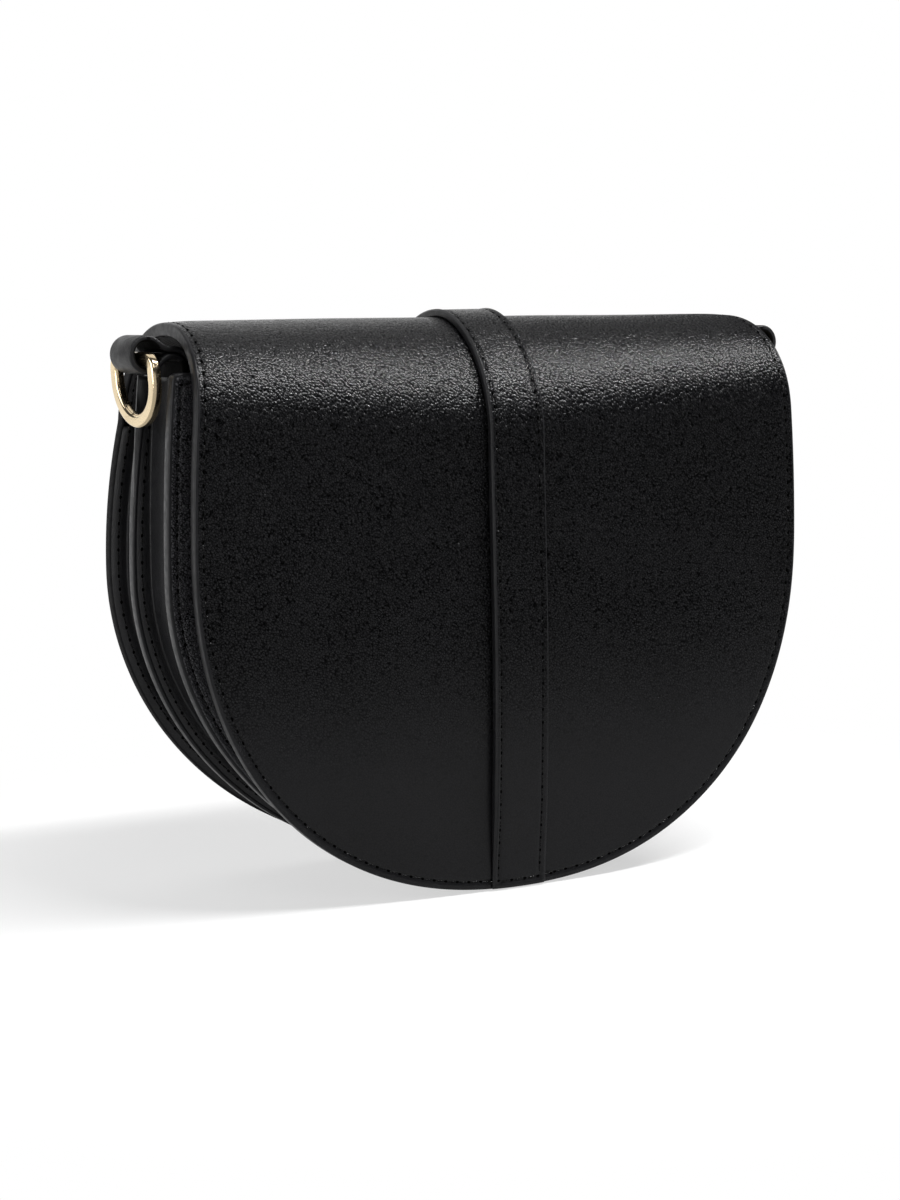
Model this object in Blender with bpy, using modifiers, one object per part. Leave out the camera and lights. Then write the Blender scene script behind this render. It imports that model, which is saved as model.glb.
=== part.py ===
"""Half-moon shoulder bag: a two-compartment body, a rolled-over flap and a ring at each side.

Metres, +Z up. The bag stands on Z = 0, its width runs along X and its flap hangs on the -Y side.
The flap turns about a line along X at the top of the back panel, and each ring turns in its tab.
"""

import math

import bmesh
import bpy
from mathutils import Vector

# Driving dimensions: the half-moon outlines of flap and body
FLAP_WIDTH = 0.206
BAG_HEIGHT = 0.1742
BAG_DEPTH = 0.066
FLAP_WIDEST_HEIGHT = 0.1065
BODY_WIDEST_HEIGHT = 0.0990
TOP_DRAW_IN = 0.0045
BODY_PROUD = 0.0038
DIVIDER_DRAW_IN = 0.0020
FLAP_LIFT = 0.0005

# Driving dimensions: the rolled top, which runs from the flap's face to the hinge line
ROLL_HEIGHT = 0.0302
BODY_TOP_DROP = 0.0147
GUSSET_TOP_DROP = 0.0010
DIVIDER_TOP_DROP = 0.0020
ROLL_CLEARANCE = 0.0010

# Driving dimensions: leather and lining
FLAP_LEATHER = 0.0026
FLAP_LINING = 0.0010
PANEL_LEATHER = 0.0026
DIVIDER_LEATHER = 0.0010
GUSSET_LEATHER = 0.0012
LINING = 0.0008
FIT_GAP = 0.0003
FLAP_CLEARANCE = 0.0076
FRONT_COMPARTMENT_DEPTH = 0.0284
GUSSET_FLANGE = 0.0055
LINING_INSET = 0.0012
EDGE_ROUND = 0.0007

# Driving dimensions: centre straps
STRAP_WIDTH = 0.0185
STRAP_LEATHER = 0.0024

# Driving dimensions: tabs and rings
TAB_WIDTH = 0.0145
TAB_LEATHER = 0.0018
TAB_LOOP_BORE_RADIUS = 0.0032
TAB_LOOP_OUTSET = 0.0100
TAB_LOOP_DROP = 0.0102
TAB_SETBACK = 0.0115
TAB_TAIL_LENGTH = 0.0260
TAB_TAIL_DROP = 0.0091
TAB_TAIL_BEND_RADIUS = 0.0030
RING_INNER_WIDTH = 0.0190
RING_OUTER_DROP = 0.0200
RING_FACE = 0.0040
RING_THICKNESS = 0.0030
RING_EDGE_ROUND = 0.0009
RING_CORNER_RADIUS = 0.0032
RING_BAR_SAG = 0.0005

# Driving dimensions: magnetic snap
SNAP_HEIGHT = 0.052
SNAP_SOCKET_RADIUS = 0.0085
SNAP_SOCKET_THICKNESS = 0.0040
SNAP_STUD_BASE_RADIUS = 0.0075
SNAP_STUD_RADIUS = 0.0026
SNAP_STUD_REACH = 0.0023
SNAP_HOLE_CLEARANCE = 0.0018
SNAP_FACE_GAP = 0.0004

# Counts, angles and shape powers
FLAP_CURVE_POWER = 2.23
BODY_CURVE_POWER = 1.99
ROLL_POWER = 2.2
OUTLINE_STEPS = 18
BASE_FLAT_STEPS = 0.5
SIDE_STEPS = 5
ROLL_STEPS = 22
LOOP_STEPS = 20
LOOP_START = math.radians(-128)
LOOP_END = math.radians(112)
BEND_STEPS = 6
RING_ARC_STEPS = 18
CORNER_STEPS = 4
ROUND_SEGMENTS = 2
TURNED_STEPS = 32
SHARP_ANGLE = math.radians(35)
OVERRUN = 0.004
WELD_DISTANCE = 0.00001

# Depth stations, front to back
FRONT_FACE_Y = -BAG_DEPTH / 2
BACK_FACE_Y = BAG_DEPTH / 2
FLAP_THICKNESS = FLAP_LEATHER + FIT_GAP + FLAP_LINING
FLAP_INNER_Y = FRONT_FACE_Y + FLAP_THICKNESS
FRONT_PANEL_Y = FLAP_INNER_Y + FLAP_CLEARANCE
FRONT_INNER_Y = FRONT_PANEL_Y + PANEL_LEATHER
DIVIDER_Y = FRONT_INNER_Y + FRONT_COMPARTMENT_DEPTH
BACK_INNER_Y = BACK_FACE_Y - PANEL_LEATHER
TAB_CENTRE_Y = DIVIDER_Y - TAB_SETBACK
STRAP_OUTER = FIT_GAP + STRAP_LEATHER

# Heights and half widths
HINGE_Z = BAG_HEIGHT - ROLL_HEIGHT
BODY_TOP_Z = BAG_HEIGHT - BODY_TOP_DROP
FLAP_HALF_WIDTH = FLAP_WIDTH / 2
BODY_HALF_WIDTH = FLAP_HALF_WIDTH + BODY_PROUD
WEB_INSET = GUSSET_FLANGE + GUSSET_LEATHER

# Each cut: the height of its widest line and the power of its lower curve
FLAP_CUT = (FLAP_WIDEST_HEIGHT, FLAP_CURVE_POWER)
BODY_CUT = (BODY_WIDEST_HEIGHT, BODY_CURVE_POWER)

RIGHT_ANGLE = math.radians(90)
ALONG_Y = (RIGHT_ANGLE, 0, 0)
ALONG_X = (RIGHT_ANGLE, 0, RIGHT_ANGLE)

LEATHER_COLOUR = (0.012, 0.012, 0.014, 1)
LINING_COLOUR = (0.030, 0.029, 0.030, 1)
GOLD_COLOUR = (0.83, 0.66, 0.40, 1)
SNAP_COLOUR = (0.55, 0.45, 0.30, 1)
LEATHER_ROUGHNESS = 0.42
LINING_ROUGHNESS = 0.85
GOLD_ROUGHNESS = 0.16
SNAP_ROUGHNESS = 0.30


def clear_scene():
    for obj in list(bpy.data.objects):
        bpy.data.objects.remove(obj)


def new_collection(name):
    collection = bpy.data.collections.new(name)
    bpy.context.scene.collection.children.link(collection)
    return collection


def principled(name, colour, roughness, metallic=0):
    material = bpy.data.materials.new(name)
    material.use_nodes = True
    shader = material.node_tree.nodes["Principled BSDF"]
    shader.inputs["Base Color"].default_value = colour
    shader.inputs["Roughness"].default_value = roughness
    shader.inputs["Metallic"].default_value = metallic
    return material


def draw_in(cut, z, extra=0):
    """How far the side has drawn in at height z: TOP_DRAW_IN at the roll's top, and extra at the hinge line."""
    widest_z = cut[0]
    rise = max(z - widest_z, 0)
    to_top = rise / (BAG_HEIGHT - widest_z)
    to_hinge = rise / (HINGE_Z - widest_z)
    return TOP_DRAW_IN * to_top**2 + extra * to_hinge**2


def half_moon_side(cut, half_width, base, top, extra=0):
    """Points (x, z) up the +X side: a flat at the base, the round lower half, then the drawn-in side."""
    widest_z, curve_power = cut
    step = RIGHT_ANGLE / (OUTLINE_STEPS + BASE_FLAT_STEPS)
    power = 2 / curve_power
    reach = (widest_z - base) / math.cos(BASE_FLAT_STEPS * step) ** power
    points = []
    for index in range(OUTLINE_STEPS + 1):
        angle = min((index + BASE_FLAT_STEPS) * step, RIGHT_ANGLE)
        lowering = max(math.cos(angle), 0) ** power
        points.append((half_width * math.sin(angle) ** power, widest_z - reach * lowering))
    for index in range(1, SIDE_STEPS + 1):
        z = widest_z + (top - widest_z) * index / SIDE_STEPS
        points.append((half_width - draw_in(cut, z, extra), z))
    return points


def half_moon(cut, half_width, base, top, extra=0):
    """The closed outline (x, z) of a half-moon panel."""
    side = half_moon_side(cut, half_width, base, top, extra)
    return side + [(-x, z) for x, z in reversed(side)]


def band(outer, inner):
    """The closed U-shaped outline between two half-moon sides, each given on +X."""
    outside = [(-x, z) for x, z in reversed(outer)] + outer
    inside = [(-x, z) for x, z in reversed(inner)] + inner
    return outside + list(reversed(inside))


def roll_path(out, front_z):
    """Points (y, z) up the front face and over the rolled top to the hinge line, out of the leather by out."""
    half_depth = BAG_DEPTH / 2 + out
    height = ROLL_HEIGHT + out
    power = 2 / ROLL_POWER
    points = [(-half_depth, front_z)]
    for index in range(ROLL_STEPS + 1):
        angle = math.pi * (1 - index / ROLL_STEPS)
        across = math.copysign(abs(math.cos(angle)) ** power, math.cos(angle))
        points.append((half_depth * across, HINGE_Z + height * max(math.sin(angle), 0) ** power))
    return points


def roll_shell(out, thickness, front_z):
    """The closed outline (y, z) of a layer that follows the rolled top, from its outer face inwards."""
    outer = roll_path(out, front_z)
    inner = roll_path(out - thickness, front_z)
    return outer + list(reversed(inner))


def mesh_object(name, mesh, collection, matrix=None):
    obj = bpy.data.objects.new(name, mesh)
    collection.objects.link(obj)
    if matrix is not None:
        obj.matrix_world = matrix
    return obj


def mesh_from_curve(curve_object, collection):
    """Turns a curve object into a mesh object with welded caps, and removes the curve."""
    graph = bpy.context.evaluated_depsgraph_get()
    mesh = bpy.data.meshes.new_from_object(curve_object.evaluated_get(graph))
    matrix = curve_object.matrix_world.copy()
    name = curve_object.name
    bpy.data.objects.remove(curve_object)
    work = bmesh.new()
    work.from_mesh(mesh)
    bmesh.ops.remove_doubles(work, verts=work.verts, dist=WELD_DISTANCE)
    bmesh.ops.recalc_face_normals(work, faces=work.faces)
    work.to_mesh(mesh)
    work.free()
    return mesh_object(name, mesh, collection, matrix)


def extruded(name, outline, thickness, centre, rotation, collection, edge_round=0):
    """A flat outline extruded both ways from its plane, with edges rounded by edge_round."""
    curve = bpy.data.curves.new(name, "CURVE")
    curve.dimensions = "2D"
    curve.fill_mode = "BOTH"
    curve.extrude = thickness / 2 - edge_round
    curve.bevel_depth = edge_round
    curve.bevel_resolution = ROUND_SEGMENTS - 1
    curve.offset = -edge_round
    spline = curve.splines.new("POLY")
    spline.points.add(len(outline) - 1)
    for point, place in zip(spline.points, outline):
        point.co = (*place, 0, 1)
    spline.use_cyclic_u = True
    obj = bpy.data.objects.new(name, curve)
    collection.objects.link(obj)
    obj.location = centre
    obj.rotation_euler = rotation
    bpy.context.view_layer.update()
    return mesh_from_curve(obj, collection)


def plate(name, outline, y_front, thickness, collection, edge_round=0):
    """A panel in the XZ plane whose front face lies at y_front."""
    centre = (0, y_front + thickness / 2, 0)
    return extruded(name, outline, thickness, centre, ALONG_Y, collection, edge_round)


def boolean(obj, other, operation):
    modifier = obj.modifiers.new(operation.title(), "BOOLEAN")
    modifier.operation = operation
    modifier.solver = "EXACT"
    modifier.object = other


def as_cutter(obj):
    obj.hide_render = True
    obj.display_type = "WIRE"
    return obj


def finish(obj, material):
    obj.data.materials.clear()
    obj.data.materials.append(material)
    obj.data.shade_smooth()
    obj.data.set_sharp_from_angle(angle=SHARP_ANGLE)
    return obj


def panels(parts, leather, lining):
    """The back, front and divider panels, and the linings inside the outer two."""
    back_top = HINGE_Z - FIT_GAP
    divider_top = BODY_TOP_Z - DIVIDER_TOP_DROP
    outline = half_moon(BODY_CUT, BODY_HALF_WIDTH, 0, BODY_TOP_Z)
    back_outline = half_moon(BODY_CUT, BODY_HALF_WIDTH, 0, back_top, BODY_PROUD)
    middle_outline = half_moon(BODY_CUT, BODY_HALF_WIDTH, 0, divider_top, DIVIDER_DRAW_IN)
    front = plate("front_panel", outline, FRONT_PANEL_Y, PANEL_LEATHER, parts, EDGE_ROUND)
    back = plate("back_panel", back_outline, BACK_INNER_Y, PANEL_LEATHER, parts, EDGE_ROUND)
    divider = plate("divider_panel", middle_outline, DIVIDER_Y, DIVIDER_LEATHER, parts)
    finish(front, leather)
    finish(back, leather)
    finish(divider, lining)

    inset = WEB_INSET + LINING_INSET
    width = BODY_HALF_WIDTH - inset
    front_outline = half_moon(BODY_CUT, width, inset, BODY_TOP_Z - LINING_INSET)
    rear_outline = half_moon(BODY_CUT, width, inset, HINGE_Z - LINING_INSET, BODY_PROUD)
    front_y = FRONT_INNER_Y + FIT_GAP
    rear_y = BACK_INNER_Y - FIT_GAP - LINING
    finish(plate("front_lining", front_outline, front_y, LINING, parts), lining)
    finish(plate("back_lining", rear_outline, rear_y, LINING, parts), lining)


def gusset(name, y_front, y_back, extra, parts, cutters, material):
    """A channel bent round the half moon: a web between two flanges that turn outwards."""
    depth = y_back - y_front
    top = BODY_TOP_Z - GUSSET_TOP_DROP
    above = top + OVERRUN
    outline = half_moon(BODY_CUT, BODY_HALF_WIDTH, 0, top, extra)
    channel = plate(name, outline, y_front, depth, parts)

    hollow = half_moon(BODY_CUT, BODY_HALF_WIDTH - WEB_INSET, WEB_INSET, above, extra)
    core = plate(name + "_core", hollow, y_front - OVERRUN, depth + 2 * OVERRUN, cutters)
    boolean(channel, as_cutter(core), "DIFFERENCE")

    beyond = half_moon_side(BODY_CUT, BODY_HALF_WIDTH + OVERRUN, -OVERRUN, above, extra)
    web_face = half_moon_side(BODY_CUT, BODY_HALF_WIDTH - GUSSET_FLANGE, GUSSET_FLANGE, above, extra)
    between = depth - 2 * GUSSET_LEATHER
    groove_y = y_front + GUSSET_LEATHER
    groove = plate(name + "_groove", band(beyond, web_face), groove_y, between, cutters)
    boolean(channel, as_cutter(groove), "DIFFERENCE")
    return finish(channel, material)


def under_roll_cutter(cutters):
    """What the flap's roll leaves free of the body: everything above a line just inside its lining."""
    inner = roll_path(-(FLAP_THICKNESS + ROLL_CLEARANCE), HINGE_Z - FIT_GAP)
    high = BAG_HEIGHT + OVERRUN
    back = BACK_FACE_Y + OVERRUN
    back_half = [(y, z) for y, z in reversed(inner) if y > 0]
    back_half[0] = (back_half[0][0], HINGE_Z - FIT_GAP)
    outline = back_half + [(0, high), (back, high), (back, HINGE_Z - FIT_GAP)]
    width = 2 * (BODY_HALF_WIDTH + OVERRUN)
    return as_cutter(extruded("under_roll", outline, width, (0, 0, 0), ALONG_X, cutters))


def gussets(parts, cutters, leather):
    front_y = FRONT_INNER_Y + FIT_GAP
    front_back_y = DIVIDER_Y - FIT_GAP
    rear_y = DIVIDER_Y + DIVIDER_LEATHER + FIT_GAP
    rear_back_y = BACK_INNER_Y - FIT_GAP
    gusset("front_gusset", front_y, front_back_y, 0, parts, cutters, leather)
    rear = gusset("rear_gusset", rear_y, rear_back_y, BODY_PROUD, parts, cutters, leather)
    boolean(rear, under_roll_cutter(cutters), "DIFFERENCE")


def flap_layer(name, out, thickness, inset, parts, cutters, material):
    """One layer of the flap: the rolled shell kept inside the half-moon outline."""
    base = FLAP_LIFT + inset
    half_width = FLAP_HALF_WIDTH - inset
    shell = roll_shell(out, thickness, base - OVERRUN)
    width = FLAP_WIDTH + 2 * OVERRUN
    layer = extruded(name, shell, width, (0, 0, 0), ALONG_X, parts)
    outline = half_moon(FLAP_CUT, half_width, base, BAG_HEIGHT + OVERRUN)
    depth = BAG_DEPTH + 2 * OVERRUN
    keep = plate(name + "_outline", outline, -depth / 2, depth, cutters)
    boolean(layer, as_cutter(keep), "INTERSECT")
    return finish(layer, material)


def flap(parts, cutters, leather, lining):
    lining_out = -(FLAP_LEATHER + FIT_GAP)
    return [
        flap_layer("flap_panel", 0, FLAP_LEATHER, 0, parts, cutters, leather),
        flap_layer("flap_lining", lining_out, FLAP_LINING, LINING_INSET, parts, cutters, lining),
    ]


def straps(parts, leather):
    """The centre strap: one length over the flap and one down the back, split at the hinge line."""
    over_flap = roll_shell(STRAP_OUTER, STRAP_LEATHER, FLAP_LIFT)
    front = extruded("strap_front", over_flap, STRAP_WIDTH, (0, 0, 0), ALONG_X, parts, EDGE_ROUND)
    finish(front, leather)
    half = STRAP_WIDTH / 2
    top = HINGE_Z - FIT_GAP
    down_back = [(-half, 0), (half, 0), (half, top), (-half, top)]
    back_y = BACK_FACE_Y + FIT_GAP
    back = plate("strap_back", down_back, back_y, STRAP_LEATHER, parts, EDGE_ROUND)
    finish(back, leather)
    return front


def arc(centre, radius, start, end, steps):
    """Points on an arc, from the start angle to the end angle in radians."""
    turn = (end - start) / steps
    angles = [start + turn * index for index in range(steps + 1)]
    return [Vector((centre[0] + radius * math.cos(a), centre[1] + radius * math.sin(a))) for a in angles]


def loop_centre():
    """Where the ring's bar passes through a tab: (distance from the middle plane, height)."""
    side = BODY_HALF_WIDTH - TOP_DRAW_IN
    return side + TAB_LOOP_OUTSET - BODY_PROUD, BAG_HEIGHT - TAB_LOOP_DROP


def tab_path():
    """The middle line (x, z) of a tab on +X: up inside the gusset, round the bar and back down inside."""
    x, z = loop_centre()
    loop_radius = TAB_LOOP_BORE_RADIUS + TAB_LEATHER / 2
    layer_step = TAB_LEATHER + FIT_GAP
    upper_z = BAG_HEIGHT - TAB_TAIL_DROP
    lower_z = upper_z - layer_step
    web_x = BODY_HALF_WIDTH - draw_in(BODY_CUT, BODY_TOP_Z) - WEB_INSET
    lower_x = web_x - FIT_GAP - TAB_LEATHER / 2
    bend_centre = (lower_x + TAB_TAIL_BEND_RADIUS, lower_z - TAB_TAIL_BEND_RADIUS)
    tail_end_z = upper_z - TAB_TAIL_LENGTH

    up = [Vector((lower_x, tail_end_z))]
    up += arc(bend_centre, TAB_TAIL_BEND_RADIUS, math.pi, RIGHT_ANGLE, BEND_STEPS)
    round_bar = arc((x, z), loop_radius, LOOP_START, LOOP_END, LOOP_STEPS)
    outer_bend = TAB_TAIL_BEND_RADIUS + layer_step
    down = arc(bend_centre, outer_bend, RIGHT_ANGLE, math.pi, BEND_STEPS)
    down.append(Vector((lower_x - layer_step, tail_end_z)))
    return up + round_bar + down


def tab(name, side, parts, leather):
    """A strip of leather folded round the ring's bar, with both ends inside the bag."""
    mesh = bpy.data.meshes.new(name)
    work = bmesh.new()
    near, far = TAB_CENTRE_Y - TAB_WIDTH / 2, TAB_CENTRE_Y + TAB_WIDTH / 2
    rows = [(work.verts.new((side * x, near, z)), work.verts.new((side * x, far, z))) for x, z in tab_path()]
    for (a, b), (c, d) in zip(rows, rows[1:]):
        work.faces.new((a, b, d, c))
    work.to_mesh(mesh)
    work.free()
    obj = mesh_object(name, mesh, parts)
    wall = obj.modifiers.new("Wall", "SOLIDIFY")
    wall.thickness = TAB_LEATHER
    wall.offset = 0
    wall.use_even_offset = True
    return finish(obj, leather)


def ring_path():
    """The closed middle line (y, z) of a ring: a straight bar, two legs and a round foot."""
    half = (RING_INNER_WIDTH + RING_FACE) / 2
    foot_z = -(RING_OUTER_DROP - RING_FACE / 2) + half
    corner = RING_CORNER_RADIUS
    points = arc((half - corner, -corner), corner, 0, RIGHT_ANGLE, CORNER_STEPS)
    points += arc((corner - half, -corner), corner, RIGHT_ANGLE, math.pi, CORNER_STEPS)
    points += arc((0, foot_z), half, math.pi, 2 * math.pi, RING_ARC_STEPS)
    return points


def rounded_section(width, height, radius):
    """The closed outline of a rectangle with round corners, centred on zero."""
    x, y = width / 2 - radius, height / 2 - radius
    quarters = [(x, y, 0), (-x, y, 1), (-x, -y, 2), (x, -y, 3)]
    outline = []
    for cx, cy, turns in quarters:
        start = turns * RIGHT_ANGLE
        outline += arc((cx, cy), radius, start, start + RIGHT_ANGLE, ROUND_SEGMENTS)
    return outline


def flat_curve(name, outline, collection):
    curve = bpy.data.curves.new(name, "CURVE")
    curve.dimensions = "2D"
    curve.fill_mode = "NONE"
    spline = curve.splines.new("POLY")
    spline.points.add(len(outline) - 1)
    for point, place in zip(spline.points, outline):
        point.co = (place[0], place[1], 0, 1)
    spline.use_cyclic_u = True
    obj = bpy.data.objects.new(name, curve)
    collection.objects.link(obj)
    return obj


def ring(name, hinge, section, parts, gold):
    """A cast ring that hangs from its bar, in a plane across the bag."""
    obj = flat_curve(name, ring_path(), parts)
    obj.data.bevel_mode = "OBJECT"
    obj.data.bevel_object = section
    obj.location = hinge.location
    obj.rotation_euler = ALONG_X
    bpy.context.view_layer.update()
    return finish(mesh_from_curve(obj, parts), gold)


def turned(name, profile, centre, parts, material):
    """A turned piece about an axis along Y: profile points (radius, distance towards the front)."""
    mesh = bpy.data.meshes.new(name)
    work = bmesh.new()
    points = [work.verts.new((radius, 0, along)) for radius, along in profile]
    for a, b in zip(points, points[1:]):
        work.edges.new((a, b))
    work.to_mesh(mesh)
    work.free()
    obj = mesh_object(name, mesh, parts)
    obj.location = centre
    obj.rotation_euler = ALONG_Y
    screw = obj.modifiers.new("Turn", "SCREW")
    screw.steps = TURNED_STEPS
    screw.render_steps = TURNED_STEPS
    screw.use_merge_vertices = True
    screw.merge_threshold = WELD_DISTANCE
    return finish(obj, material)


def snap(parts, material):
    """The hidden closure: a stud under the flap and its socket on the front panel."""
    socket_back = FRONT_PANEL_Y - FIT_GAP
    hole_radius = SNAP_STUD_RADIUS + SNAP_HOLE_CLEARANCE
    hole_floor = SNAP_SOCKET_THICKNESS - SNAP_STUD_REACH
    socket = [
        (0, hole_floor),
        (hole_radius, hole_floor),
        (hole_radius, SNAP_SOCKET_THICKNESS),
        (SNAP_SOCKET_RADIUS, SNAP_SOCKET_THICKNESS),
        (SNAP_SOCKET_RADIUS, 0),
        (0, 0),
    ]
    turned("snap_socket", socket, (0, socket_back, SNAP_HEIGHT), parts, material)

    base_front = FLAP_INNER_Y + FIT_GAP
    base_back = socket_back - SNAP_SOCKET_THICKNESS - SNAP_FACE_GAP
    base_thickness = base_back - base_front
    reach = SNAP_STUD_REACH - FIT_GAP
    stud = [
        (0, base_thickness),
        (SNAP_STUD_BASE_RADIUS, base_thickness),
        (SNAP_STUD_BASE_RADIUS, 0),
        (SNAP_STUD_RADIUS, 0),
        (SNAP_STUD_RADIUS, -reach),
        (0, -reach),
    ]
    return turned("snap_stud", stud, (0, base_back, SNAP_HEIGHT), parts, material)


def hinge_point(name, location, parts):
    empty = bpy.data.objects.new(name, None)
    parts.objects.link(empty)
    empty.location = location
    return empty


def hang(pieces, hinge):
    """Parents the pieces to their hinge without moving them."""
    bpy.context.view_layer.update()
    for piece in pieces:
        piece.parent = hinge
        piece.matrix_parent_inverse = hinge.matrix_world.inverted()


def rings_and_tabs(parts, cutters, leather, gold):
    x, z = loop_centre()
    outline = rounded_section(RING_FACE, RING_THICKNESS, RING_EDGE_ROUND)
    section = as_cutter(flat_curve("ring_section", outline, cutters))
    for name, side in (("left", -1), ("right", 1)):
        place = (side * x, TAB_CENTRE_Y, z - RING_BAR_SAG)
        hinge = hinge_point(name + "_ring_hinge", place, parts)
        hang([ring("d_ring_" + name, hinge, section, parts, gold)], hinge)
        tab("tab_" + name, side, parts, leather)


def main():
    clear_scene()
    parts = new_collection("shoulder_bag")
    cutters = new_collection("cutters")
    leather = principled("black_leather", LEATHER_COLOUR, LEATHER_ROUGHNESS)
    lining = principled("dark_lining", LINING_COLOUR, LINING_ROUGHNESS)
    gold = principled("pale_gold", GOLD_COLOUR, GOLD_ROUGHNESS, 1)
    snap_metal = principled("snap_metal", SNAP_COLOUR, SNAP_ROUGHNESS, 1)

    panels(parts, leather, lining)
    gussets(parts, cutters, leather)
    flap_pieces = flap(parts, cutters, leather, lining)
    flap_pieces.append(straps(parts, leather))
    flap_pieces.append(snap(parts, snap_metal))
    hinge_y = BACK_FACE_Y + STRAP_OUTER
    hang(flap_pieces, hinge_point("flap_hinge", (0, hinge_y, HINGE_Z), parts))
    rings_and_tabs(parts, cutters, leather, gold)


if __name__ == "__main__":
    main()
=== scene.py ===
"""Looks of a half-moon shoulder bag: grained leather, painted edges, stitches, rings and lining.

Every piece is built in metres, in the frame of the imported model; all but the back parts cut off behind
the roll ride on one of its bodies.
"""

import logging
import math
from dataclasses import dataclass, field
from enum import Enum
from typing import Callable, Sequence

import bmesh
import bpy
import numpy as np
from mathutils import Matrix, Vector, noise
from mathutils.geometry import delaunay_2d_cdt


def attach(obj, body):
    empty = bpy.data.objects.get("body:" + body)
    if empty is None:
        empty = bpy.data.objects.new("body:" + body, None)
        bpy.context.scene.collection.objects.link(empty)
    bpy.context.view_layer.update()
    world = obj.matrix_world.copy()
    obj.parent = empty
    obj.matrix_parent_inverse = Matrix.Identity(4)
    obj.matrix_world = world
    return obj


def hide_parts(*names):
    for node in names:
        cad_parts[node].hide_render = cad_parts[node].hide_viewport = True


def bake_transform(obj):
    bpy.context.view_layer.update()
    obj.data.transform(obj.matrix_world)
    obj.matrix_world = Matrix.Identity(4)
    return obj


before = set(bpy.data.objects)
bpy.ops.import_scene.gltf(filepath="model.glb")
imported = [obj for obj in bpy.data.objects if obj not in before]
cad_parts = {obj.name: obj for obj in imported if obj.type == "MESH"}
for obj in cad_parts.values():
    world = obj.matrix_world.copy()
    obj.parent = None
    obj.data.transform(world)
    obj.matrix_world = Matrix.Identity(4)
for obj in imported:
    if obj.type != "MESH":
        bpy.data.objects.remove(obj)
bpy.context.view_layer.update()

log = logging.getLogger("shoulder_bag")

Array = np.ndarray
Colour = tuple[float, float, float]
Point = tuple[float, float]
Row = tuple[Array, Array, bool]
Object = bpy.types.Object
Material = bpy.types.Material
Socket = bpy.types.NodeSocket

MM = 0.001
TURN = 2 * math.pi
RIGHT_ANGLE = math.pi / 2
HINGE = 0.144
ROLL_AXIS = (0.0, 0.0, 0.144)
CUT_ANGLE = math.radians(28.0)
STITCH_STEP = 0.0016
STITCH_DEPTH = 0.00018
ROW_STEP = 0.87


class Body(Enum):
    """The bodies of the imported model."""

    BAG = "body"
    FLAP = "flap"
    LEFT_RING = "left_ring"
    RIGHT_RING = "right_ring"


class Slot(Enum):
    """Names of the material slots."""

    LEATHER = "black_leather"
    LINING = "dark_lining"
    GOLD = "pale_gold"
    SNAP = "snap_metal"


class Side(Enum):
    """Which way a flat panel's outer face looks."""

    FRONT = -1
    BACK = 1


# Shaders


class NodeGraph:
    """Adds and joins nodes in one tree."""

    def __init__(self, tree: bpy.types.NodeTree) -> None:
        """Starts on an existing tree."""
        self.tree = tree

    def feed(self, node: bpy.types.Node, inputs: dict) -> None:
        """Sets a node's inputs.

        Args:
            node: the node.
            inputs: socket name or index to a value or to another node's output.
        """
        for name, value in inputs.items():
            if isinstance(value, Socket):
                self.tree.links.new(value, node.inputs[name])
            else:
                node.inputs[name].default_value = value

    def node(self, kind: str, inputs: dict | None = None, **settings: object) -> bpy.types.Node:
        """Adds a node.

        Args:
            kind: the node's type name.
            inputs: as for feed.
            settings: the node's own properties.

        Returns:
            The new node.
        """
        made = self.tree.nodes.new(kind)
        for name, value in settings.items():
            setattr(made, name, value)
        self.feed(made, inputs or {})
        return made

    def out(self, kind: str, inputs: dict | None = None, **settings: object) -> Socket:
        """The first output of a new node."""
        return self.node(kind, inputs, **settings).outputs[0]

    def math(self, operation: str, *values: object) -> Socket:
        """The result of a maths operation on numbers or outputs."""
        return self.out("ShaderNodeMath", dict(enumerate(values)), operation=operation)

    def times(self, first: object, second: object) -> Socket:
        """The product of two values."""
        return self.math("MULTIPLY", first, second)

    def times_add(self, first: object, second: object, third: object) -> Socket:
        """The product of two values plus a third one."""
        return self.math("MULTIPLY_ADD", first, second, third)

    def axis(self, vector: Socket, index: int) -> Socket:
        """One part of a vector."""
        return self.node("ShaderNodeSeparateXYZ", {0: vector}).outputs[index]

    def vector(self, **parts: object) -> Socket:
        """A vector made of named parts X, Y and Z."""
        return self.node("ShaderNodeCombineXYZ", parts).outputs[0]

    def bump(self, height: Socket, distance: float) -> Socket:
        """The normal of a relief of so many metres."""
        return self.node("ShaderNodeBump", {"Height": height, "Distance": distance}).outputs["Normal"]

    def remap(
        self, value: object, low: float, high: object, to_low: float = 0.0, to_high: float = 1.0
    ) -> Socket:
        """Maps one range onto another, smoothly and clamped.

        Args:
            value: the number or output to map.
            low: where the range starts.
            high: where the range ends.
            to_low: what the start becomes.
            to_high: what the end becomes.

        Returns:
            The mapped value.
        """
        inputs = {"Value": value, "From Min": low, "From Max": high, "To Min": to_low, "To Max": to_high}
        return self.node("ShaderNodeMapRange", inputs, interpolation_type="SMOOTHSTEP").outputs["Result"]

    def mix_colour(self, factor: Socket, first: object, second: object) -> Socket:
        """Mixes two colours, with so much of the second one."""
        return self.node("ShaderNodeMix", {0: factor, 6: first, 7: second}, data_type="RGBA").outputs[2]

    def noise(self, coordinates: Socket, scale: object, detail: float = 3.0, rough: float = 0.5) -> Socket:
        """Noise from 0 to 1.

        Args:
            coordinates: where it is read.
            scale: waves per metre.
            detail: octaves.
            rough: weight of the finer octaves.

        Returns:
            Its value.
        """
        inputs = {"Vector": coordinates, "Scale": scale, "Detail": detail, "Roughness": rough}
        return self.node("ShaderNodeTexNoise", inputs).outputs["Fac"]


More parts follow.
